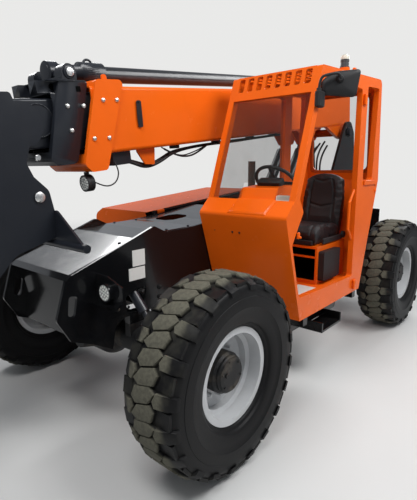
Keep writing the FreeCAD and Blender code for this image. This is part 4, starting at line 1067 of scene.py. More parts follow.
@dataclass
class Cab(Assembly):
    """The cab's seat, panes, controls, steering wheel, mirror, beacon and small fittings."""

    outer_y: float = 1.09
    seat_y: float = 0.72
    seat_half: float = 0.21
    pocket_levels: Rows = ((0.800, 0.985), (1.000, 1.062))
    pocket_x: tuple[float, float] = (-1.630, -1.342)
    pocket_y: tuple[float, float] = (0.465, 0.935)
    # Thickness of the near-black sheets that paint shade inside the seat box pockets.
    shade_sheet: float = 0.002
    door_hinges_z: tuple[float, float] = (0.71, 2.235)
    rear_hinges_z: tuple[float, float] = (1.50, 1.56)
    cowl_bolts: Rows = ((0.633, 0.008), (0.695, 0.008), (0.47, 0.004))
    cowl_way: Point = (0.957, 0, -0.292)
    column_way: Point = (-0.5, 0, 0.866)
    lever_spots: Rows = ((0.455, 1.09), (0.415, 1.07))
    lever: Rows = ((0.007, 0), (0.007, 0.14), (0.018, 0.15), (0.021, 0.19), (0.014, 0.205))
    pedals_y: tuple[float, float] = (0.60, 0.84)
    sign_edges: Sequence[tuple[Point, Point]] = (((-1.045, 1.062, 0.7745), (0.46, 0.036, 0.003)),
                                                 ((-0.833, 0.94, 0.7745), (0.036, 0.21, 0.003)))
    sign_chamfer: float = 0.0008
    screen_foot: tuple[float, float] = (-0.700, 1.490)
    fold: tuple[float, float] = (-0.594, 1.388)
    notch: tuple[Point, Point] = ((-0.75, 0.794, 1.520), (0.20, 0.297, 0.165))
    field_layers: Rows = ((-0.004, 0.0), (0.002, 0.0), (0.010, 0.012), (0.011, 0.016))
    field_corners: Sequence[tuple[float, float, int, int]] = (
        (0.012, 0.612, 1, 1), (0.012, 0.925, 1, -1), (0.145, 0.955, 0, -1), (0.145, 0.640, 0, 1))
    wheel_centre: Point = (-1.052, 0.732, 1.592)
    wheel_axis: Point = (-0.72, 0.0, 0.694)
    wheel_radius: float = 0.168
    grip_radius: float = 0.013
    column_foot: Point = (-0.9523, 0.720, 1.4115)
    spoke_rows: Sequence[Point] = ((0.036, 0.019, 0.007), (0.09, 0.014, 0.006), (0.168, 0.011, 0.005))
    spoke_section: Rows = ((1, 0.5), (0.6, 1), (-0.6, 1), (-1, 0.5), (-1, -0.5), (-0.6, -1), (0.6, -1), (1, -0.5))
    mirror_foot: Point = (-1.000, 1.105, 2.165)
    mirror_turn: float = math.asin(0.130 / 0.204)
    mirror_corners: Rows = ((-0.016, 0.012), (0.216, -0.004), (0.242, 0.174), (0.060, 0.158), (-0.014, 0.104))
    mirror_shell: Rows = ((0.96, 0.012), (1.0, 0.008), (1.0, -0.004), (0.94, -0.013), (0.76, -0.021), (0.40, -0.026),
                          (0.05, -0.027))
    beacon_rows: Rows = (
        (0.034, 0), (0.034, 0.010), (0.030, 0.014), (0.029, 0.040), (0.031, 0.042), (0.031, 0.050), (0.031, 0.052),
        (0.031, 0.058), (0.030, 0.0585), (0.030, 0.078), (0.027, 0.086), (0.018, 0.091), (0.003, 0.093))

    def back_form(self, spot: Vector) -> Vector:
        """The seat back's outline: narrow shoulders, a round top and a slim foot.

        Args:
            spot: A place on the plain pad.

        Returns:
            Where it goes.
        """
        side = (spot.y - self.seat_y) / self.seat_half
        rise = share(spot.z, 1.42, 1.69)
        width = 1.0 - 0.18 * rise ** 1.5 - 0.05 * share(-spot.z, -1.30, -1.10)
        return Vector((spot.x, self.seat_y + side * self.seat_half * width,
                       spot.z - 0.055 * rise * abs(side) ** 2.6))

    def back_channel(self, spot: Vector) -> float:
        """Depth of the seat back's sewn channels.

        Args:
            spot: A place on the pad.

        Returns:
            The depth.
        """
        y, z = abs(spot.y - self.seat_y), spot.z
        if spot.x - self.site.shift < -1.90 + (z - 1.2) * -0.10:
            return 0.0
        inner = 0.118 - 0.25 * max(0.0, z - 1.50)
        depth = 0.010 * groove(y - inner) if 1.20 < z < 1.60 else 0.0
        if y < inner:
            lines = [0.008 * groove(z - line - y * 0.25) for line in (1.36, 1.585)]
            depth = max(depth, *lines) + 0.012 * hollow((z - 1.40) / 0.20)
        return depth

    def cushion_channel(self, spot: Vector) -> float:
        """Depth of the cushion's sewn channels.

        Args:
            spot: A place on the pad.

        Returns:
            The depth.
        """
        x, y, inner = spot.x - self.site.shift, abs(spot.y - self.seat_y), 0.145
        if spot.z < 1.16:
            return 0.0
        depth = 0.008 * groove(y - inner)
        if y < inner:
            depth = max(depth, 0.006 * groove(x + 1.60)) + 0.010 * hollow((x + 1.62) / 0.2)
        return depth

    def seat(self) -> None:
        """Back, cushion, the seat's trim and near-black sheets that paint shade inside the pockets of its box."""
        at, y = self.site.at, self.seat_y
        vinyl = self.finishes["seat_vinyl"]
        Cushion("seat_back", self.back_channel, self.back_form).build(vinyl)
        Cushion("seat_cushion", self.cushion_channel).build(vinyl)
        trim, shade_sheet = Shape(), Shape()
        for side in SIDES:
            trim.block(at(-1.60, y + side * 0.232, 1.115), (0.36, 0.018, 0.045), 0.006)
        trim.block(at(-1.345, y, 1.105), (0.02, 0.36, 0.04), 0.005)
        trim.lathe(at(-1.80, y + 0.226, 1.13), Y, [(0.03, 0), (0.03, 0.02), (0.022, 0.026)], 20)
        self.put(trim, "seat_trim", "black_plastic")
        (x0, x1), (y0, y1), t = self.pocket_x, self.pocket_y, self.shade_sheet
        # Painted shade: thin near-black sheets cover each pocket's back, walls, floor and roof.
        for low, high in self.pocket_levels:
            mx, my, mz = (x0 + x1) / 2, (y0 + y1) / 2, (low + high) / 2
            deep, wide, tall = x1 - x0, y1 - y0, high - low
            rows = [((x0 + t, my, mz), (t, wide - 1.5 * t, tall - 1.5 * t))]
            rows += [((mx, wall, mz), (deep, t, tall - t)) for wall in (y0 + t, y1 - t)]
            rows += [((mx, my, level), (deep - t / 2, wide - 1.2 * t, 0.8 * t)) for level in (low + t, high - t)]
            for spot, size in rows:
                shade_sheet.block(at(*spot), size, 0.0004)
        self.put(shade_sheet, "pocket_lining", "painted_shade_black")

    def fittings(self) -> None:
        """Door catch, hinge ears and cowl bolts."""
        at, y = self.site.at, self.outer_y
        hinges, bolts, catch = Shape(), Shape(), Shape()
        for z in self.door_hinges_z:
            hinges.block(at(-1.765, y + 0.008, z), (0.05, 0.016, 0.085))
            hinges.lathe(at(-1.742, y + 0.017, z - 0.036), Z, [(0.011, 0), (0.011, 0.072)], 16)
        for z in self.rear_hinges_z:
            hinges.lathe(at(-2.135, y, z), Y, [(0.018, 0), (0.018, 0.006), (0.014, 0.008)], 20)
        hinges.block(at(-1.98, y + 0.006, 1.575), (0.26, 0.012, 0.04), 0.004)
        catch.block(at(-0.748, y + 0.007, 1.262), (0.026, 0.014, 0.042), 0.004)
        catch.lathe(at(-0.752, y + 0.012, 1.250), Y, [(0.008, 0), (0.008, 0.012), (0.006, 0.014)], 14)
        self.put(catch, "door_catch", "orange_paint")
        for bolt_y, radius in self.cowl_bolts:
            bolts.dome(at(-0.6325, bolt_y, 1.257), Vector(self.cowl_way).normalized(), radius, 0.003, 14)
        self.put(hinges, "cab_hinges", "orange_paint")
        self.put(bolts, "cowl_bolts", "black_plastic")

    def controls(self) -> None:
        """Dash top, column shroud, levers, pedals, washer tank and the yellow edges of the floor's blank sign."""
        at = self.site.at
        dark, tank, edge, column = Shape(), Shape(), Shape(), Vector(self.column_way)
        dark.block(at(-0.905, 0.77, 1.600), (0.07, 0.20, 0.05), 0.008, Matrix.Rotation(0.5, 3, "Y"))
        dark.lathe(at(-1.00, 0.72, 1.505), column, [(0.045, 0), (0.045, 0.055), (0.036, 0.07)])
        for y, z in self.lever_spots:
            dark.lathe(at(-1.42, y, z), Vector((0.1, 0, 1)), self.lever, 16)
        dark.block(at(-1.46, 0.435, 1.03), (0.16, 0.10, 0.10), 0.010)
        for y in self.pedals_y:
            dark.block(at(-0.875, y, 0.86), (0.02, 0.075, 0.12), 0.004, Matrix.Rotation(-0.6, 3, "Y"))
            dark.lathe(at(-0.865, y, 0.775), Vector((-0.05, 0, 1)), [(0.008, 0), (0.008, 0.07)], 12)
        dark.lathe(at(-1.06, 0.72, 1.60) + column * 0.014, column, [(0.038, 0), (0.038, 0.006), (0.030, 0.012)])
        self.put(dark, "cab_controls", "black_plastic")
        tank.block(at(-0.775, 0.975, 1.475), (0.085, 0.12, 0.085), 0.010, Matrix.Rotation(-0.2, 3, "Y"))
        self.put(tank, "washer_tank", "tank_white")
        for spot, size in self.sign_edges:
            edge.block(at(*spot), size, self.sign_chamfer)
        self.put(edge, "sign_edges", "sign_yellow")

    def mirror(self) -> None:
        """Mirror with its domed shell, glass, ball joint, bent arm and clamp."""
        at, y = self.site.at, self.outer_y
        across = Vector((-math.sin(self.mirror_turn), math.cos(self.mirror_turn), 0))
        back = Vector((-math.cos(self.mirror_turn), -math.sin(self.mirror_turn), 0))
        foot = at(*self.mirror_foot)
        outline = rounded(self.mirror_corners, 0.030)
        mx, mz = (sum(p[i] for p in outline) / len(outline) for i in range(2))

        def ring(scale: float, depth: float) -> list[Vector]:
            """The head's outline at a scale and a depth behind its plane."""
            return [foot + across * (mx + (a - mx) * scale) + Z * (mz + (b - mz) * scale) + back * depth
                    for a, b in outline]

        shell, glass = Shape(), Shape()
        shell.rings([ring(scale, depth) for scale, depth in self.mirror_shell])
        ball = foot + across * mx + Z * (mz + 0.02)
        shell.lathe(ball - back * 0.020, -back, [(0.030, 0), (0.027, 0.010), (0.018, 0.022), (0.015, 0.030)])
        shell.block(at(-0.945, y + 0.0195, 2.145), (0.085, 0.039, 0.105), 0.009)
        shell.lathe(at(-0.932, y + 0.018, 2.190), Z, [(0.016, 0), (0.016, 0.02), (0.012, 0.024)], 20)
        self.put(shell, "mirror_shell", "black_plastic", Body.CHASSIS, 40.0, "mirror")
        tip = ball - back * 0.045
        self.lay("mirror_arm", Body.CHASSIS, 0.009, [
            at(-0.932, y + 0.018, 2.17), at(-0.922, y + 0.020, 2.275), at(-0.955, y + 0.070, 2.293),
            tip + Vector((0.01, 0, 0.035)), tip], "black_plastic")
        glass.rings([ring(0.9, 0.0122), ring(0.9, 0.0137)])
        self.put(glass, "mirror_glass", "mirror_glass")

    def steering(self) -> None:
        """Steering wheel with its ring, three spokes, boss and column."""
        centre, tilt, foot = self.site.at(*self.wheel_centre), Vector(self.wheel_axis), self.site.at(*self.column_foot)
        wheel, way, grip = Shape(), centre - foot, self.grip_radius
        wheel.lathe(centre, tilt, [(self.wheel_radius - grip * math.cos(a), grip * math.sin(a))
                                   for a in (math.pi * (k / 8 - 0.5) for k in range(17))], 64, False)
        wheel.lathe(centre - tilt * 0.016, tilt,
                    [(0.040, 0), (0.048, 0.010), (0.048, 0.022), (0.040, 0.030), (0.006, 0.034)], 32)
        wheel.lathe(foot, way, [(0.046, 0), (0.042, 0.05), (0.030, 0.10), (0.026, way.length - 0.02),
                                (0.034, way.length)], 28)
        down = Y.cross(tilt).normalized()
        for arm in (Y, down, -Y):
            across = tilt.cross(arm).normalized()
            wheel.rings([[centre + arm * reach + across * (half * u) + tilt * (thick * w)
                          for u, w in self.spoke_section] for reach, half, thick in self.spoke_rows])
        self.put(wheel, "helm", "black_plastic", Body.CHASSIS, 45.0, "steering_wheel")

    def beacon(self) -> None:
        """Beacon with its ribbed housing and pale dome."""
        low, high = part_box("beacon")
        light = Shape()
        light.lathe(Vector(((low.x + high.x) / 2, (low.y + high.y) / 2, low.z)), Z, self.beacon_rows, 36)
        self.put(light, "beacon_light", "beacon_body", Body.CHASSIS, 40.0, "beacon")

    def windscreen(self) -> None:
        """The panes, cut out round the instrument hump, and the raised field between hump and fold."""
        cutter, raised = Shape(), Shape()
        cutter.block(self.site.at(*self.notch[0]), self.notch[1], 0.001)
        self.trim("cab_glass", "cab_panes", Body.CHASSIS, cutter)
        (x0, z0), (x1, z1) = self.fold, self.screen_foot
        way = Vector((x1 - x0, 0, z1 - z0)).normalized()
        out = Vector((way.z, 0, -way.x))
        raised.rings([[self.site.at(x0, y + across * inset, z0) + way * (along + down * inset) + out * lift
                       for along, y, down, across in self.field_corners] for lift, inset in self.field_layers])
        self.put(raised, "cowl_field", "orange_paint")

    def build(self) -> None:
        """Make everything of the cab."""
        for job in (self.seat, self.fittings, self.controls, self.mirror, self.steering, self.beacon, self.windscreen):
            job()


@dataclass
class Lamps(Assembly):
    """Lens faces with rings of small cells for the head lamps and the boom's work lamp."""

    head: Point = (0.3505, 0.460, 1.000)
    head_radius: float = 0.049
    work: Point = (3.660, 0.135, -0.088)
    work_radius: float = 0.045
    lens_lift: float = 0.003
    cell_share: float = 0.15
    cell_rings: Sequence[tuple[int, float]] = ((1, 0.0), (6, 0.40), (12, 0.76))
    bezel: Rows = ((0.0515, -0.012), (0.0515, 0.003), (0.046, 0.004), (0.046, -0.002))
    ribs: int = 4
    rib_from: float = 0.018
    rib_step: float = 0.008
    rib: Rows = ((0.0525, -0.003), (0.0525, 0.0))

    def lens(self, shape: Shape, cells: Shape, centre: Vector, way: Vector, radius: float) -> None:
        """A lens with a middle cell and two rings of cells.

        Args:
            shape: The lens mesh that grows.
            cells: The cell mesh that grows.
            centre: The lens's middle.
            way: Where it looks.
            radius: Its radius.
        """
        lift = self.lens_lift
        shape.lathe(centre, way, [(radius, -2 * lift), (radius, 0.0), (radius * 0.93, lift)], 32)
        side = way.orthogonal().normalized()
        for count, ring in self.cell_rings:
            for spot in circle(centre + way * lift, side, way.cross(side), radius * ring, count):
                cells.dome(spot, way, radius * self.cell_share, lift, 12)

    def build(self) -> None:
        """Make the three lenses with their cells, and the work lamp's cooling ribs."""
        x, y, z = self.head
        lens, cells = Shape(), Shape()
        for side in SIDES:
            self.lens(lens, cells, self.site.at(x, side * y, z), X, self.head_radius)
        self.put(lens, "headlamp_lenses", "lamp_lens")
        self.put(cells, "headlamp_cells", "lamp_cell")
        lens, cells, ribs = Shape(), Shape(), Shape()
        way, face = self.site.boom_way(), self.site.boom(*self.work)
        self.lens(lens, cells, face + way * 0.002, way, self.work_radius)
        ribs.lathe(face, way, self.bezel, 36)
        for k in range(self.ribs):
            ribs.lathe(face - way * (self.rib_from + self.rib_step * k), way, self.rib, 32)
        self.put(lens, "work_lamp_lens", "lamp_lens", Body.OUTER)
        self.put(cells, "work_lamp_cells", "lamp_cell", Body.OUTER)
        self.put(ribs, "work_lamp_ribs", "black_plastic", Body.OUTER)


@dataclass
class Boom(Assembly):
    """Bolts, pins, hoses and small fittings of the boom and its head.

    Places are given along the lowered boom from its pivot, across and above.
    """

    outer_side: float = 0.216
    mid_side: float = 0.194
    tower_y: float = 0.285
    pin_y: float = 0.2075
    head_pin: Rows = ((0.0295, 0), (0.0295, 0.003), (0.026, 0.005), (0.004, 0.0045))
    tilt_pin: Rows = ((0.018, -0.002), (0.018, 0.012), (0.014, 0.015))
    bracket_pin: Rows = ((0.0235, 0), (0.0235, 0.003), (0.020, 0.005), (0.003, 0.0045))
    pivot_cover: Rows = ((0.058, 0), (0.058, 0.005), (0.047, 0.006), (0.047, 0.025), (0.030, 0.028), (0.030, 0.026),
                         (0.004, 0.026))
    pad_bolt: Rows = ((0.014, 0), (0.014, 0.004), (0.011, 0.009), (0.005, 0.011))
    pin_along: float = 3.683
    pin_up: float = 0.548
    ear_radius: float = 0.047
    ear_foot: Rows = ((3.640, 0.500), (3.733, 0.500))
    ear_y: tuple[float, float] = (0.120, 0.196)
    barrel_up: float = 0.572
    barrel_front: float = 3.712
    cut_end: float = 3.900
    cuts: Sequence[tuple[str, str, float, float]] = (("mid_boom", "mid_section", 3.640, 0.509),
                                                     ("extend_barrel", "extend_tube", 3.712, 0.450))
    # Middle of a near-black disc that paints the step's hole as shade.
    step_hole: Point = (3.775, 0.140, 0.475)
    outer_pads: Rows = ((3.493, 0.394), (3.390, 0.394), (3.595, 0.174), (3.487, 0.172))
    mid_pads: Rows = ((3.728, 0.365), (3.622, 0.364), (3.725, 0.230))
    boss: Point = (3.892, 0.150, 0.295)
    boss_radius: float = 0.088
    beads: int = 72
    bead_radius: float = 0.0055
    bead_height: float = 0.0035
    ports: Rows = ((-0.06, 0.25), (0.0, 0.23), (0.06, 0.25), (0.0, 0.34))
    port: Rows = ((0.024, 0), (0.024, 0.02), (0.014, 0.024), (0.012, 0.07), (0.006, 0.074))
    clamps: Sequence[float] = (2.80, 2.3, 1.8, 1.4)
    tower_hoses: Rows = ((0.10, 1.35), (0.05, 1.40), (-0.04, 1.38), (-0.10, 1.34))
    tower_foot: tuple[float, float] = (-3.20, 1.12)
    tower_path: Sequence[Point] = ((-3.16, 1, 0), (-3.05, 0.9, 0.28), (-3.10, 0.8, 0.50), (-3.28, 0.7, 0.62))
    tower_radius: float = 0.011
    hose_rows: Sequence[tuple[str, float, Sequence[Point]]] = (
        ("belly_hose_a", 0.012, (
            (3.30, 0.075, 0.02), (3.22, 0.09, -0.01), (3.12, 0.10, -0.055), (2.98, 0.10, -0.03), (2.82, 0.10, 0.035),
            (2.5, 0.10, 0.055), (2.1, 0.10, 0.050), (1.7, 0.10, 0.058), (1.3, 0.10, 0.06))),
        ("belly_hose_b", 0.011, (
            (3.30, 0.045, 0.03), (3.20, 0.06, 0.00), (3.08, 0.07, -0.045), (2.95, 0.07, -0.015), (2.80, 0.065, 0.04),
            (2.4, 0.07, 0.05), (2.0, 0.07, 0.058), (1.6, 0.065, 0.055), (1.25, 0.07, 0.06))),
        ("belly_hose_c", 0.007, (
            (2.95, 0.13, 0.06), (2.84, 0.14, 0.0), (2.70, 0.145, -0.02), (2.55, 0.14, 0.02), (2.45, 0.13, 0.06))),
        ("belly_cable", 0.005, (
            (2.90, 0.05, 0.07), (2.72, 0.03, -0.02), (2.52, 0.02, 0.0), (2.36, 0.03, 0.045), (2.2, 0.03, 0.07))),
        ("lamp_cable", 0.0045, (
            (3.625, 0.165, -0.075), (3.58, 0.19, -0.11), (3.52, 0.20, -0.125), (3.45, 0.19, -0.10),
            (3.41, 0.17, -0.03), (3.42, 0.14, 0.02))))

    def bracket(self) -> None:
        """Rounded ears, cross plate and clamp that hold the extend cylinder on the middle section's collar, and a
        near-black disc that paints the step's hole as shade.
        """
        b, turn, way = self.site.boom, self.site.boom_turn(), self.site.boom_way()
        along, up = self.pin_along, self.pin_up
        for node, name, back, low in self.cuts:
            cutter = Shape()
            cutter.block(b((back + self.cut_end) / 2, 0, low + 0.2), (self.cut_end - back, 0.6, 0.4), 0.001, turn)
            self.trim(node, name, Body.MID, cutter)
        ears, shade_patch = Shape(), Shape()
        outline = list(self.ear_foot)
        outline += [(along + self.ear_radius * math.cos(a), up + self.ear_radius * math.sin(a))
                    for a in (math.pi * k / 14 for k in range(15))]
        for side in SIDES:
            ears.rings([[b(s, side * y, t) for s, t in outline] for y in self.ear_y])
            ears.lathe(b(along, side * 0.194, up), Y * side,
                       [(0.036, 0), (0.036, 0.008), (0.030, 0.011), (0.024, 0.011)], 32)
        ears.block(b(3.689, 0, 0.516), (0.088, 0.36, 0.026), 0.004, turn)
        ears.lathe(b(3.648, 0, self.barrel_up), way, [(0.052, 0), (0.064, 0.004), (0.064, 0.066), (0.052, 0.070)], 40)
        ears.lathe(b(along, -0.125, up), Y, [(0.024, 0), (0.024, 0.25)])
        ears.lathe(b(self.barrel_front - 0.012, 0, self.barrel_up), way,
                   [(0.051, 0), (0.051, 0.014), (0.046, 0.019), (0.02, 0.021)], 40)
        for spot in circle(b(3.415, 0, 0.622), way, self.site.boom_up(), 0.036, 17, 0.0, math.pi * 17 / 16):
            ears.dome(spot, Y, 0.008, 0.006, 10)
        self.put(ears, "extend_bracket", "black_paint", Body.MID)
        # Painted shade: a thin near-black disc stands for the dark inside of the step's hole.
        shade_patch.lathe(b(*self.step_hole), Y, [(0.017, -0.001), (0.017, 0.0008)])
        self.put(shade_patch, "step_hole", "painted_shade_black", Body.MID)

    def bolts(self) -> None:
        """Wear pad bolts on both collars and near-black squares that paint the black one's recess as shade."""
        for body, reach, spots in ((Body.OUTER, self.outer_side, self.outer_pads),
                                   (Body.MID, self.mid_side, self.mid_pads)):
            heads = Shape()
            for side in SIDES:
                for along, up in spots:
                    heads.lathe(self.site.boom(along, side * reach, up), Y * side, self.pad_bolt, 18)
            self.put(heads, "pad_bolts_" + body.value, "zinc_bolt", body)
        # Painted shade: thin near-black squares on both sides of the middle section's collar stand for its recess.
        shade_patch = Shape()
        for side in SIDES:
            shade_patch.block(self.site.boom(3.639, side * (self.mid_side + 0.0005), 0.458), (0.030, 0.003, 0.030), 0.001,
                       self.site.boom_turn())
        self.put(shade_patch, "collar_recess", "painted_shade_black", Body.MID)

    def pins(self) -> None:
        """Bright ends of the head's, tilt cylinder's and extend bracket's pins, and the pivot's covers."""
        b = self.site.boom
        head, bracket, covers = Shape(), Shape(), Shape()
        for side in SIDES:
            way = Y * side
            head.lathe(self.site.at(0.560, side * self.pin_y, 1.552), way, self.head_pin, 32)
            head.lathe(b(3.935, side * 0.136, 0.098), way, self.tilt_pin)
            bracket.lathe(b(self.pin_along, side * self.pin_y, self.pin_up), way, self.bracket_pin, 28)
            covers.lathe(b(0, side * (self.tower_y + 0.001), 0), way, self.pivot_cover, 36)
        self.put(head, "head_pin_ends", "bright_pin", Body.INNER)
        self.put(bracket, "bracket_pin_ends", "bright_pin", Body.MID)
        self.put(covers, "pivot_pin_covers", "black_paint", Body.OUTER)

    def welds(self) -> None:
        """Weld beads round the inner section's bosses and the wall with its ports at the section's front end."""
        b = self.site.boom
        bead, wall = Shape(), Shape()
        along, y, up = self.boss
        for side in SIDES:
            for spot in circle(b(along, side * y, up), X, Z, self.boss_radius, self.beads):
                bead.dome(spot, Y * side, self.bead_radius, self.bead_height, 6)
        self.put(bead, "boss_weld", "black_paint", Body.INNER)
        wall.block(b(4.225, 0, 0.279), (0.012, 0.274, 0.274), 0.002, self.site.boom_turn())
        for y, up in self.ports:
            wall.lathe(b(4.219, y, up), -self.site.boom_way(), self.port, 20)
        self.put(wall, "head_bulkhead", "black_paint", Body.INNER)

    def hoses(self) -> None:
        """Hoses below the outer section with their clamps, the lamp's cable and the lines between the towers."""
        b, at, (foot_x, foot_z) = self.site.boom, self.site.at, self.tower_foot
        for name, radius, points in self.hose_rows:
            self.lay(name, Body.OUTER, radius, [b(*point) for point in points])
        for y, z in self.tower_hoses:
            path = [at(x, y * narrow, z + rise) for x, narrow, rise in self.tower_path]
            self.lay("tower_hose_%d" % round(1000 + y * 1000), Body.CHASSIS, self.tower_radius,
                     [at(foot_x, y, foot_z), *path])
        clamps = Shape()
        for along in self.clamps:
            clamps.block(b(along, 0.085, 0.066), (0.03, 0.085, 0.026), 0.003, self.site.boom_turn())
        self.put(clamps, "hose_clamps", "black_plastic", Body.OUTER)

    def build(self) -> None:
        """Make everything of the boom."""
        for job in (self.bracket, self.bolts, self.pins, self.welds, self.hoses):
            job()


@dataclass
class Chassis(Assembly):
    """Hood louvres and latches, frame and deck bolts, tank cap, axle bolts and steering hoses."""

    plate_y: float = 0.345
    hood_y: float = 1.13
    louvre_x: tuple[float, float] = (-1.10, -1.55)
    latch_x: tuple[float, float] = (-0.92, -2.03)
    louvres: int = 9
    louvre_step: float = 0.032
    plate_spots: Rows = ((-0.18, 0.83), (-0.18, 0.90), (0.18, 0.83), (0.25, 0.90), (-2.84, 0.83), (-3.2, 0.83),
                         (-3.02, 0.86))
    deck_spots: Sequence[Point] = ((-0.30, 0.30, 1.2816), (-0.52, 0.30, 1.2855), (0.10, 0.29, 1.2392))
    deck_way: Point = (0.15, 0, 1)
    screw: Rows = ((0.012, 0), (0.012, 0.003), (0.008, 0.006))
    tank_cap: Rows = ((0.045, 0), (0.045, 0.02), (0.05, 0.022), (0.05, 0.04), (0.044, 0.045))
    bowl_bolts: int = 12
    bowl_radius: float = 0.105
    hose_spots: Sequence[Point] = ((-0.165, 0.20, 0.665), (-0.17, 0.20, 0.74), (-0.24, 0.19, 0.80),
                                   (-0.34, 0.14, 0.82), (-0.42, 0.12, 0.83))

    def hood(self) -> None:
        """Louvres and latches on the hood."""
        at, y = self.site.at, -self.hood_y
        louvres, latches, turn = Shape(), Shape(), Matrix.Rotation(0.6, 3, "X")
        for x in self.louvre_x:
            for k in range(self.louvres):
                louvres.block(at(x, y - 0.001, 0.93 + self.louvre_step * k), (0.34, 0.014, 0.010), 0.002, turn)
            louvres.block(at(x, y - 0.0005, 1.058), (0.38, 0.003, 0.32), 0.001)
        for x in self.latch_x:
            latches.block(at(x, y - 0.008, 0.84), (0.05, 0.016, 0.09), 0.004)
            latches.block(at(x, y - 0.019, 0.825), (0.022, 0.012, 0.05))
        self.put(louvres, "hood_louvres", "black_paint", Body.HOOD)
        self.put(latches, "hood_latches", "black_plastic", Body.HOOD)

    def plates(self) -> None:
        """Bolt heads on the side plates, deck screws and the tank's cap."""
        at = self.site.at
        bolts, screws, cap = Shape(), Shape(), Shape()
        for side in SIDES:
            for x, z in self.plate_spots:
                bolts.bolt(at(x, side * self.plate_y, z), Y * side, 0.013)
            for x, y, z in self.deck_spots:
                screws.lathe(at(x, side * y, z), Vector(self.deck_way), self.screw, 14)
        cap.lathe(at(-1.15, 0.84, 0.578), Z, self.tank_cap, 28)
        self.put(bolts, "plate_bolts", "axle_black")
        self.put(screws, "deck_screws", "black_paint")
        self.put(cap, "tank_cap", "black_plastic")

    def axles(self) -> None:
        """Cover bolts on the axle bowls and the steering hoses."""
        at, bolts = self.site.at, Shape()
        for base in (0.0, -WHEELBASE):
            for spot in circle(at(base - 0.173, 0, AXLE_Z), Y, Z, self.bowl_radius, self.bowl_bolts):
                bolts.bolt(spot, -X, 0.009)
        self.put(bolts, "axle_bolts", "axle_black")
        for end, base in (("front", 0.0), ("rear", -WHEELBASE)):
            for tag, side in (("r", -1), ("l", 1)):
                self.lay("steer_hose_%s_%s" % (end, tag), Body.CHASSIS, 0.009,
                         [at(base + x, side * y, z) for x, y, z in self.hose_spots])

    def build(self) -> None:
        """Make everything of the chassis."""
        for job in (self.hood, self.plates, self.axles):
            job()


@dataclass
class Dresser(Assembly):
    """Gives every CAD piece its finish; a family such as rim_fl goes by its first word."""

    rows: dict[str, str] = field(default_factory=lambda: {
        "frame_black": "chassis_frame engine_tray fuel_tank counterweight headlamps",
        "deck_black": "front_deck",
        "engine_cast": "engine_block",
        "exhaust_steel": "exhaust",
        "lamp_red": "tail_lamps",
        "sign_white": "blank_plates",
        "axle_black": "axle_front axle_rear knuckle hub",
        "orange_paint": "cab_frame cab_cowl cab_floor seat_box engine_hood outer_boom",
        "clear_glass": "cab_glass",
        "black_plastic": "document_box steering_wheel mirror work_lamp",
        "beacon_body": "beacon",
        "seat_vinyl": "seat_cushion seat_back",
        "black_paint": "axle_locks boom_sensors mid_boom extend_barrel inner_boom coupler carriage forks tilt_barrel "
                       "lift_barrels",
        "chrome_rod": "extend_rod tilt_rod lift_rods steer_rod_front steer_rod_rear",
        "hose_rubber": "tyre",
        "silver_paint": "rim"})

    def build(self, nodes: dict[str, bpy.types.Object]) -> None:
        """Set the material of each node and shade its round faces smooth.

        Args:
            nodes: The CAD pieces by name.
        """
        finish_of = {name: finish for finish, names in self.rows.items() for name in names.split()}
        for name, node in nodes.items():
            finish = finish_of.get(name) or finish_of[name.rsplit("_", 1)[0]]
            node.data.materials.clear()
            node.data.materials.append(self.finishes[finish])
            for face in node.data.polygons:
                face.material_index = 0
            smooth(node.data, CAD_SMOOTH)
            log.info("%s: %s", name, finish)


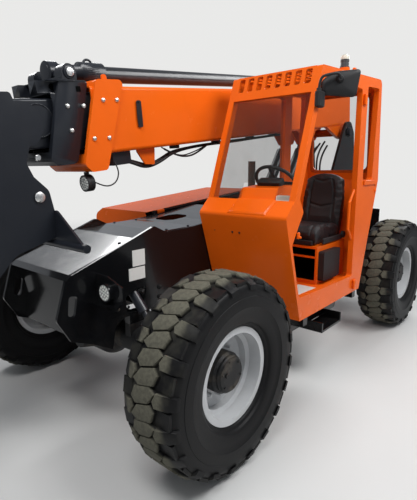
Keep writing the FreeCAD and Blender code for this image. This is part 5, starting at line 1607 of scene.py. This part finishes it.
@dataclass
class Studio(Assembly):
    """Pale floor, soft lamps, pale world and the camera at the photograph's place."""

    eye: Point = (1.707, 2.434, 1.705)
    yaw: float = -139.1
    pitch: float = -11.1
    roll: float = -0.34
    focal_px: float = 417.0
    floor_reach: float = 30.0
    sky: Colour = (0.80, 0.84, 0.90)
    sky_light: float = 0.36
    lamps: Sequence[tuple[str, Point, Point, tuple[float, float], float]] = (
        ("ceiling_front", (2.2, 1.2, 5.0), (0.0, 0.4, 0.8), (3.0, 1.2), 150.0),
        ("ceiling_left", (-1.8, 3.6, 4.6), (-1.6, 0.6, 1.0), (3.4, 1.4), 170.0),
        ("ceiling_right", (-1.5, -4.2, 4.8), (-1.5, -0.5, 1.0), (3.4, 1.6), 130.0),
        ("ceiling_rear", (-6.4, 0.6, 4.6), (-3.0, 0.0, 1.2), (2.4, 2.4), 110.0))

    def aim(self, piece: bpy.types.Object, spot: Vector, way: Vector, roll: float = 0.0) -> None:
        """Put a lamp or camera at a place, looking along a direction."""
        turn = way.to_track_quat("-Z", "Y").to_matrix().to_4x4()
        piece.matrix_world = Matrix.Translation(spot) @ turn @ Matrix.Rotation(math.radians(roll), 4, "Z")

    def build(self) -> None:
        """Set the camera, the floor, the lamps and the world, which the camera sees as near white."""
        scene = bpy.context.scene
        scene.view_settings.view_transform = "Standard"
        data = bpy.data.cameras.new("camera")
        data.sensor_width = SENSOR_MM
        data.lens = self.focal_px / IMAGE_LONG_SIDE * SENSOR_MM
        data.clip_start = 0.05
        scene.camera = linked("camera", data)
        yaw, pitch = math.radians(self.yaw), math.radians(self.pitch)
        way = Vector((math.cos(yaw) * math.cos(pitch), math.sin(yaw) * math.cos(pitch), math.sin(pitch)))
        self.aim(scene.camera, self.site.at(*self.eye), way, self.roll)

        mesh, r = bpy.data.meshes.new("floor"), self.floor_reach
        mesh.from_pydata([(-r, -r, 0), (r, -r, 0), (r, r, 0), (-r, r, 0)], [], [(0, 1, 2, 3)])
        mesh.materials.append(self.finishes["floor"])
        linked("floor", mesh)

        for name, place, target, size, power in self.lamps:
            light = bpy.data.lights.new(name, "AREA")
            light.shape, light.energy = "RECTANGLE", power
            light.size, light.size_y = size
            spot = self.site.at(*place)
            self.aim(linked(name, light), spot, self.site.at(*target) - spot)

        scene.world = bpy.data.worlds.new("hall")
        g = Graph(scene.world)
        soft = g.add("ShaderNodeBackground", None, {"Color": self.sky, "Strength": self.sky_light})
        pale = g.add("ShaderNodeBackground", None, {"Color": PALE, "Strength": PALE_LIGHT})
        seen = g.add("ShaderNodeMath", {"operation": "MAXIMUM"}, {0: g.ray("Camera"), 1: g.ray("Transmission")})
        g.close(g.add("ShaderNodeMixShader", None, {0: seen, 1: soft, 2: pale}), "ShaderNodeOutputWorld")


def main() -> None:
    """Load the frame and dress it from the ground up."""
    logging.basicConfig(level=logging.INFO, format="%(message)s")
    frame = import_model()
    site = Site().read()
    finishes = Finishes(site)
    Dresser(site, finishes).build(frame["nodes"])
    for kind in (Tyres, Hubs, Chassis, Cab, Lamps, Boom, Studio):
        kind(site, finishes).build()


if __name__ == "__main__":
    main()
